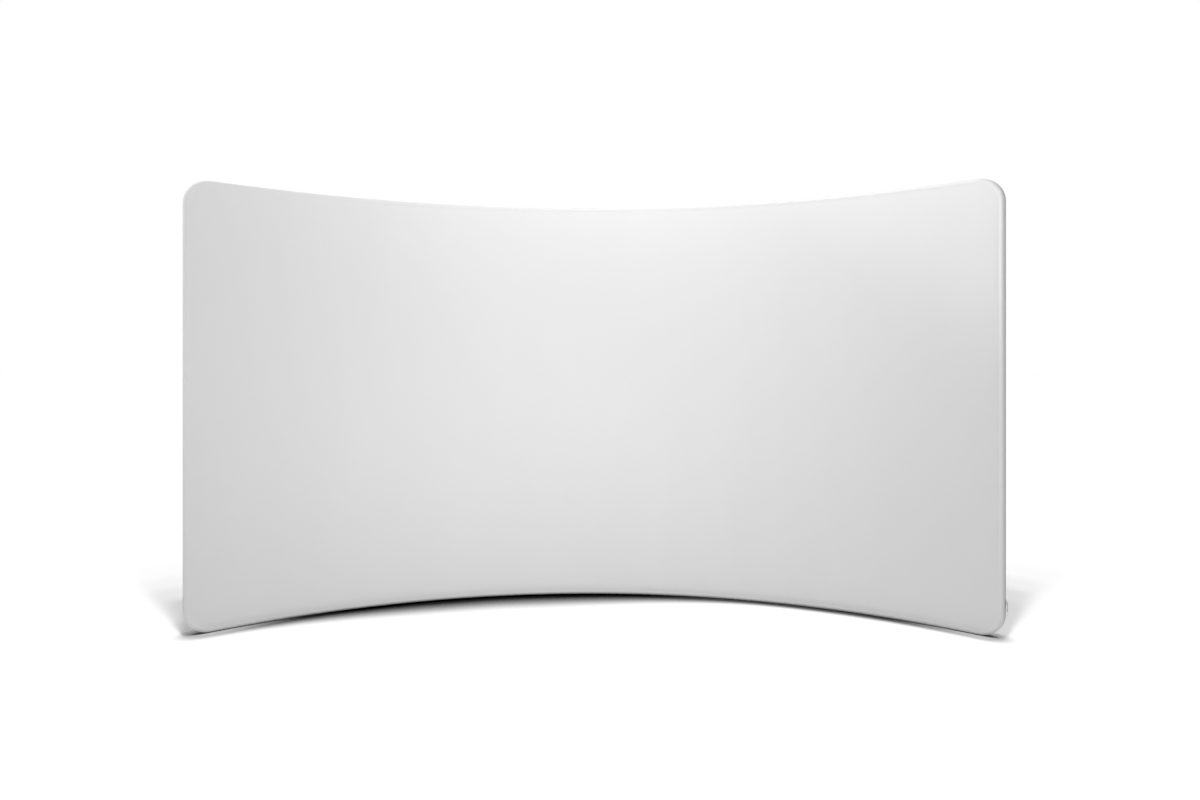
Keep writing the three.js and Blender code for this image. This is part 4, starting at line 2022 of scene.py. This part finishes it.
def lamp(name: str, kind: str, towards: Vector, **settings: object) -> Piece:
    """Adds a lamp to the scene.

    Args:
        name: The lamp's name.
        kind: AREA or SUN.
        towards: The direction in which it shines.
        **settings: The lamp's values.

    Returns:
        The lamp, at the origin.
    """
    data = bpy.data.lights.new(name, kind)
    assign(data, settings)
    added = bpy.data.objects.new(name, data)
    added.rotation_euler = towards.to_track_quat("-Z", "Y").to_euler()
    bpy.context.scene.collection.objects.link(added)
    return added


@dataclass(frozen=True)
class Softbox:
    """A square lamp that lights one side of the wall alone."""

    name: str
    place: tuple[float, float, float]
    size: float
    power: float
    side: Lit = Lit.HOLLOW_SIDE

    def build(self, aim: Vector) -> None:
        """Adds the lamp to the scene.

        Args:
            aim: The point that it is turned to.
        """
        box = lamp(self.name, "AREA", aim - Vector(self.place), shape="SQUARE", size=self.size,
                   energy=self.power)
        box.location = self.place
        box.visible_camera = False
        self.side.light(box)


@dataclass(frozen=True)
class Sunlight:
    """A distant lamp that lights the floor alone, so that the wall throws its shadow there."""

    azimuth: float
    elevation: float
    power: float
    softness: float = 3.0

    def build(self) -> None:
        """Adds the lamp to the scene."""
        around, up = math.radians(self.azimuth), math.radians(self.elevation)
        level = math.cos(up)
        down = -Vector((level * math.cos(around), level * math.sin(around), math.sin(up)))
        Lit.FLOOR.light(lamp("floor_sun", "SUN", down, energy=self.power,
                             angle=math.radians(self.softness)))


@dataclass(frozen=True)
class Floor:
    """A white floor that keeps the wall's shadow, with a painted contact shadow where the wall
    stands on it.

    Its slopes run along x: first the places, then the values there.
    """

    size: float = 400.0
    grey: float = 0.32
    bounced_grey: float = 0.235
    # From middle to falloff: the painted contact shadow, darkest left of the wall's middle and
    # fading at its ends.
    middle: float = -0.55
    reach: Slope = ((0.2, 1.6), (0.30, 0.09))
    bounced_reach: float = 0.05
    least_aside: Slope = ((0.8, 1.4), (0.0, 0.06))
    least_at_ends: Slope = ((1.55, 1.95), (0.0, 0.45))
    opening: Slope = ((0.53, 0.97), (0.0, 1.0))
    falloff: float = 1.7

    def white(self, board: Board) -> Socket:
        """Works out the floor's colour.

        Args:
            board: The material's board.

        Returns:
            The colour: a grey that the suns bring to white, a little darker for the light that
                bounces off it, and darker still close to the wall as a painted contact shadow.
        """
        place = board.add("SeparateXYZ", {0: board.add("TexCoord").outputs["Object"]})
        run = place.outputs["X"]
        aside = board.math("ABSOLUTE", board.math("SUBTRACT", run, self.middle))
        bounced = board.add("LightPath").outputs["Is Diffuse Ray"]
        spread = board.ramp(aside, self.reach, "SMOOTHSTEP")
        reach = board.add("Mix", {0: bounced, 2: spread, 3: self.bounced_reach})
        grey = board.add("Mix", {0: bounced, 2: self.grey, 3: self.bounced_grey})
        outer = board.ramp(aside, self.least_aside, "SMOOTHSTEP")
        ends = board.ramp(board.math("ABSOLUTE", run), self.least_at_ends, "SMOOTHSTEP")
        # Painted contact shadow: ambient occlusion near the wall darkens the floor's colour.
        near = board.add("AmbientOcclusion", {"Distance": reach.outputs[0]}, samples=16)
        opened = board.ramp(near.outputs["AO"], self.opening)
        kept = board.math("MAXIMUM", board.math("POWER", opened, self.falloff),
                          board.math("ADD", outer, ends))
        return board.math("MULTIPLY", kept, grey.outputs[0])

    def build(self) -> Piece:
        """Builds the floor.

        Returns:
            The floor, a hair below the wall.
        """
        floor = started("floor", bpy.ops.mesh.primitive_plane_add, size=self.size,
                        location=(0, 0, -0.0002))
        material = bpy.data.materials.new("floor_white")
        board = Board.emptied(material)
        surface = board.add("BsdfDiffuse", {"Color": self.white(board)})
        board.add("OutputMaterial", {"Surface": surface.outputs[0]})
        floor.data.materials.append(material)
        floor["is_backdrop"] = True
        return floor


@dataclass(frozen=True)
class Studio:
    """The floor, the white behind it, the lamps and the camera."""

    ground: Floor = Floor()
    camera_place: tuple[float, float, float] = (0.078, -4.379, 1.336)
    camera_turn: float = 0.57
    lens: float = 24.0
    horizon_shift: float = -0.0251
    fill: float = 0.2
    aim: tuple[float, float, float] = (0.0, 0.3, 1.15)
    back_pieces: tuple[str, ...] = ("back_cloth", "zip_back_tape_and_coil", "zip_stitches_back")
    lamps: tuple[Softbox, ...] = (
        Softbox("low_left", (-2.0, -3.0, 0.8), 0.8, 8.4),
        Softbox("low_middle", (-0.2, -1.5, 0.8), 0.8, 9.0),
        Softbox("back_left", (-4.26, 2.66, 4.64), 1.0, 285.0),
        Softbox("front_left", (-5.18, -2.79, 1.72), 1.0, 8.0),
        Softbox("high_middle", (0.3, -1.0, 4.5), 1.0, 58.0),
        Softbox("side_rim", (-3.4, -1.2, 1.4), 0.9, 3.2),
        Softbox("corner_rim", (-3.2, -0.8, 3.6), 0.6, 20.0),
        Softbox("behind_left", (-2.8, 4.6, 2.8), 1.6, 76.0, Lit.BACK),
        Softbox("behind_right", (3.0, 4.4, 2.2), 1.6, 56.0, Lit.BACK),
    )
    suns: tuple[Sunlight, ...] = (
        Sunlight(0, 90, 0.40, 60.0),
        Sunlight(-51, 53, 0.38), Sunlight(-51, 60, 0.69), Sunlight(-51, 66, 1.06),
        Sunlight(-56, 72, 2.00), Sunlight(-56, 84, 1.70),
        Sunlight(-129, 53, 0.50), Sunlight(-126, 60, 1.00), Sunlight(-124, 66, 1.52),
        Sunlight(-124, 72, 0.74),
    )

    def camera(self) -> None:
        """Sets the camera where the photograph was taken from."""
        data = bpy.data.cameras.new("camera")
        assign(data, {"sensor_width": 36.0, "lens": self.lens, "shift_y": self.horizon_shift,
                      "clip_end": 200.0})
        camera = bpy.data.objects.new("camera", data)
        camera.location = self.camera_place
        camera.rotation_euler = (QUARTER, 0.0, math.radians(self.camera_turn))
        bpy.context.scene.collection.objects.link(camera)
        bpy.context.scene.camera = camera

    def world(self) -> None:
        """A soft even light all round, which looks pure white."""
        world = bpy.data.worlds.new("studio_white")
        bpy.context.scene.world = world
        board = Board.emptied(world)
        path = board.add("LightPath").outputs
        seen = path["Is Camera Ray"]
        for ray in ("Is Glossy Ray", "Is Transmission Ray"):
            seen = board.math("MAXIMUM", seen, path[ray])
        strength = board.math("MULTIPLY_ADD", seen, 1.0 - self.fill, self.fill)
        background = board.add("Background", {"Color": (1, 1, 1, 1), "Strength": strength})
        board.add("OutputWorld", {"Surface": background.outputs[0]})

    def build(self) -> None:
        """Builds the studio round the finished wall."""
        scene = bpy.context.scene
        scene.view_settings.view_transform = "Standard"
        self.camera()
        self.world()
        floor = self.ground.build()
        behind = [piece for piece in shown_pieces() if piece.name in self.back_pieces]
        Lit.BACK.gather(behind)
        Lit.HOLLOW_SIDE.gather(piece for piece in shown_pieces() if piece not in behind)
        Lit.FLOOR.gather([floor])
        for softbox in self.lamps:
            softbox.build(Vector(self.aim))
        for sun in self.suns:
            sun.build()


# ---- All together -------------------------------------------------------------------------------


def main() -> None:
    logging.basicConfig(level=logging.INFO, format="%(name)s: %(message)s")
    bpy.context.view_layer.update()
    palette = Palette()
    Frame(palette).build()
    cover = Cover(palette)
    halves = cover.build()
    trims = Zip(palette).build()
    cover.declare()
    Studio().build()


if __name__ == "__main__":
    main()
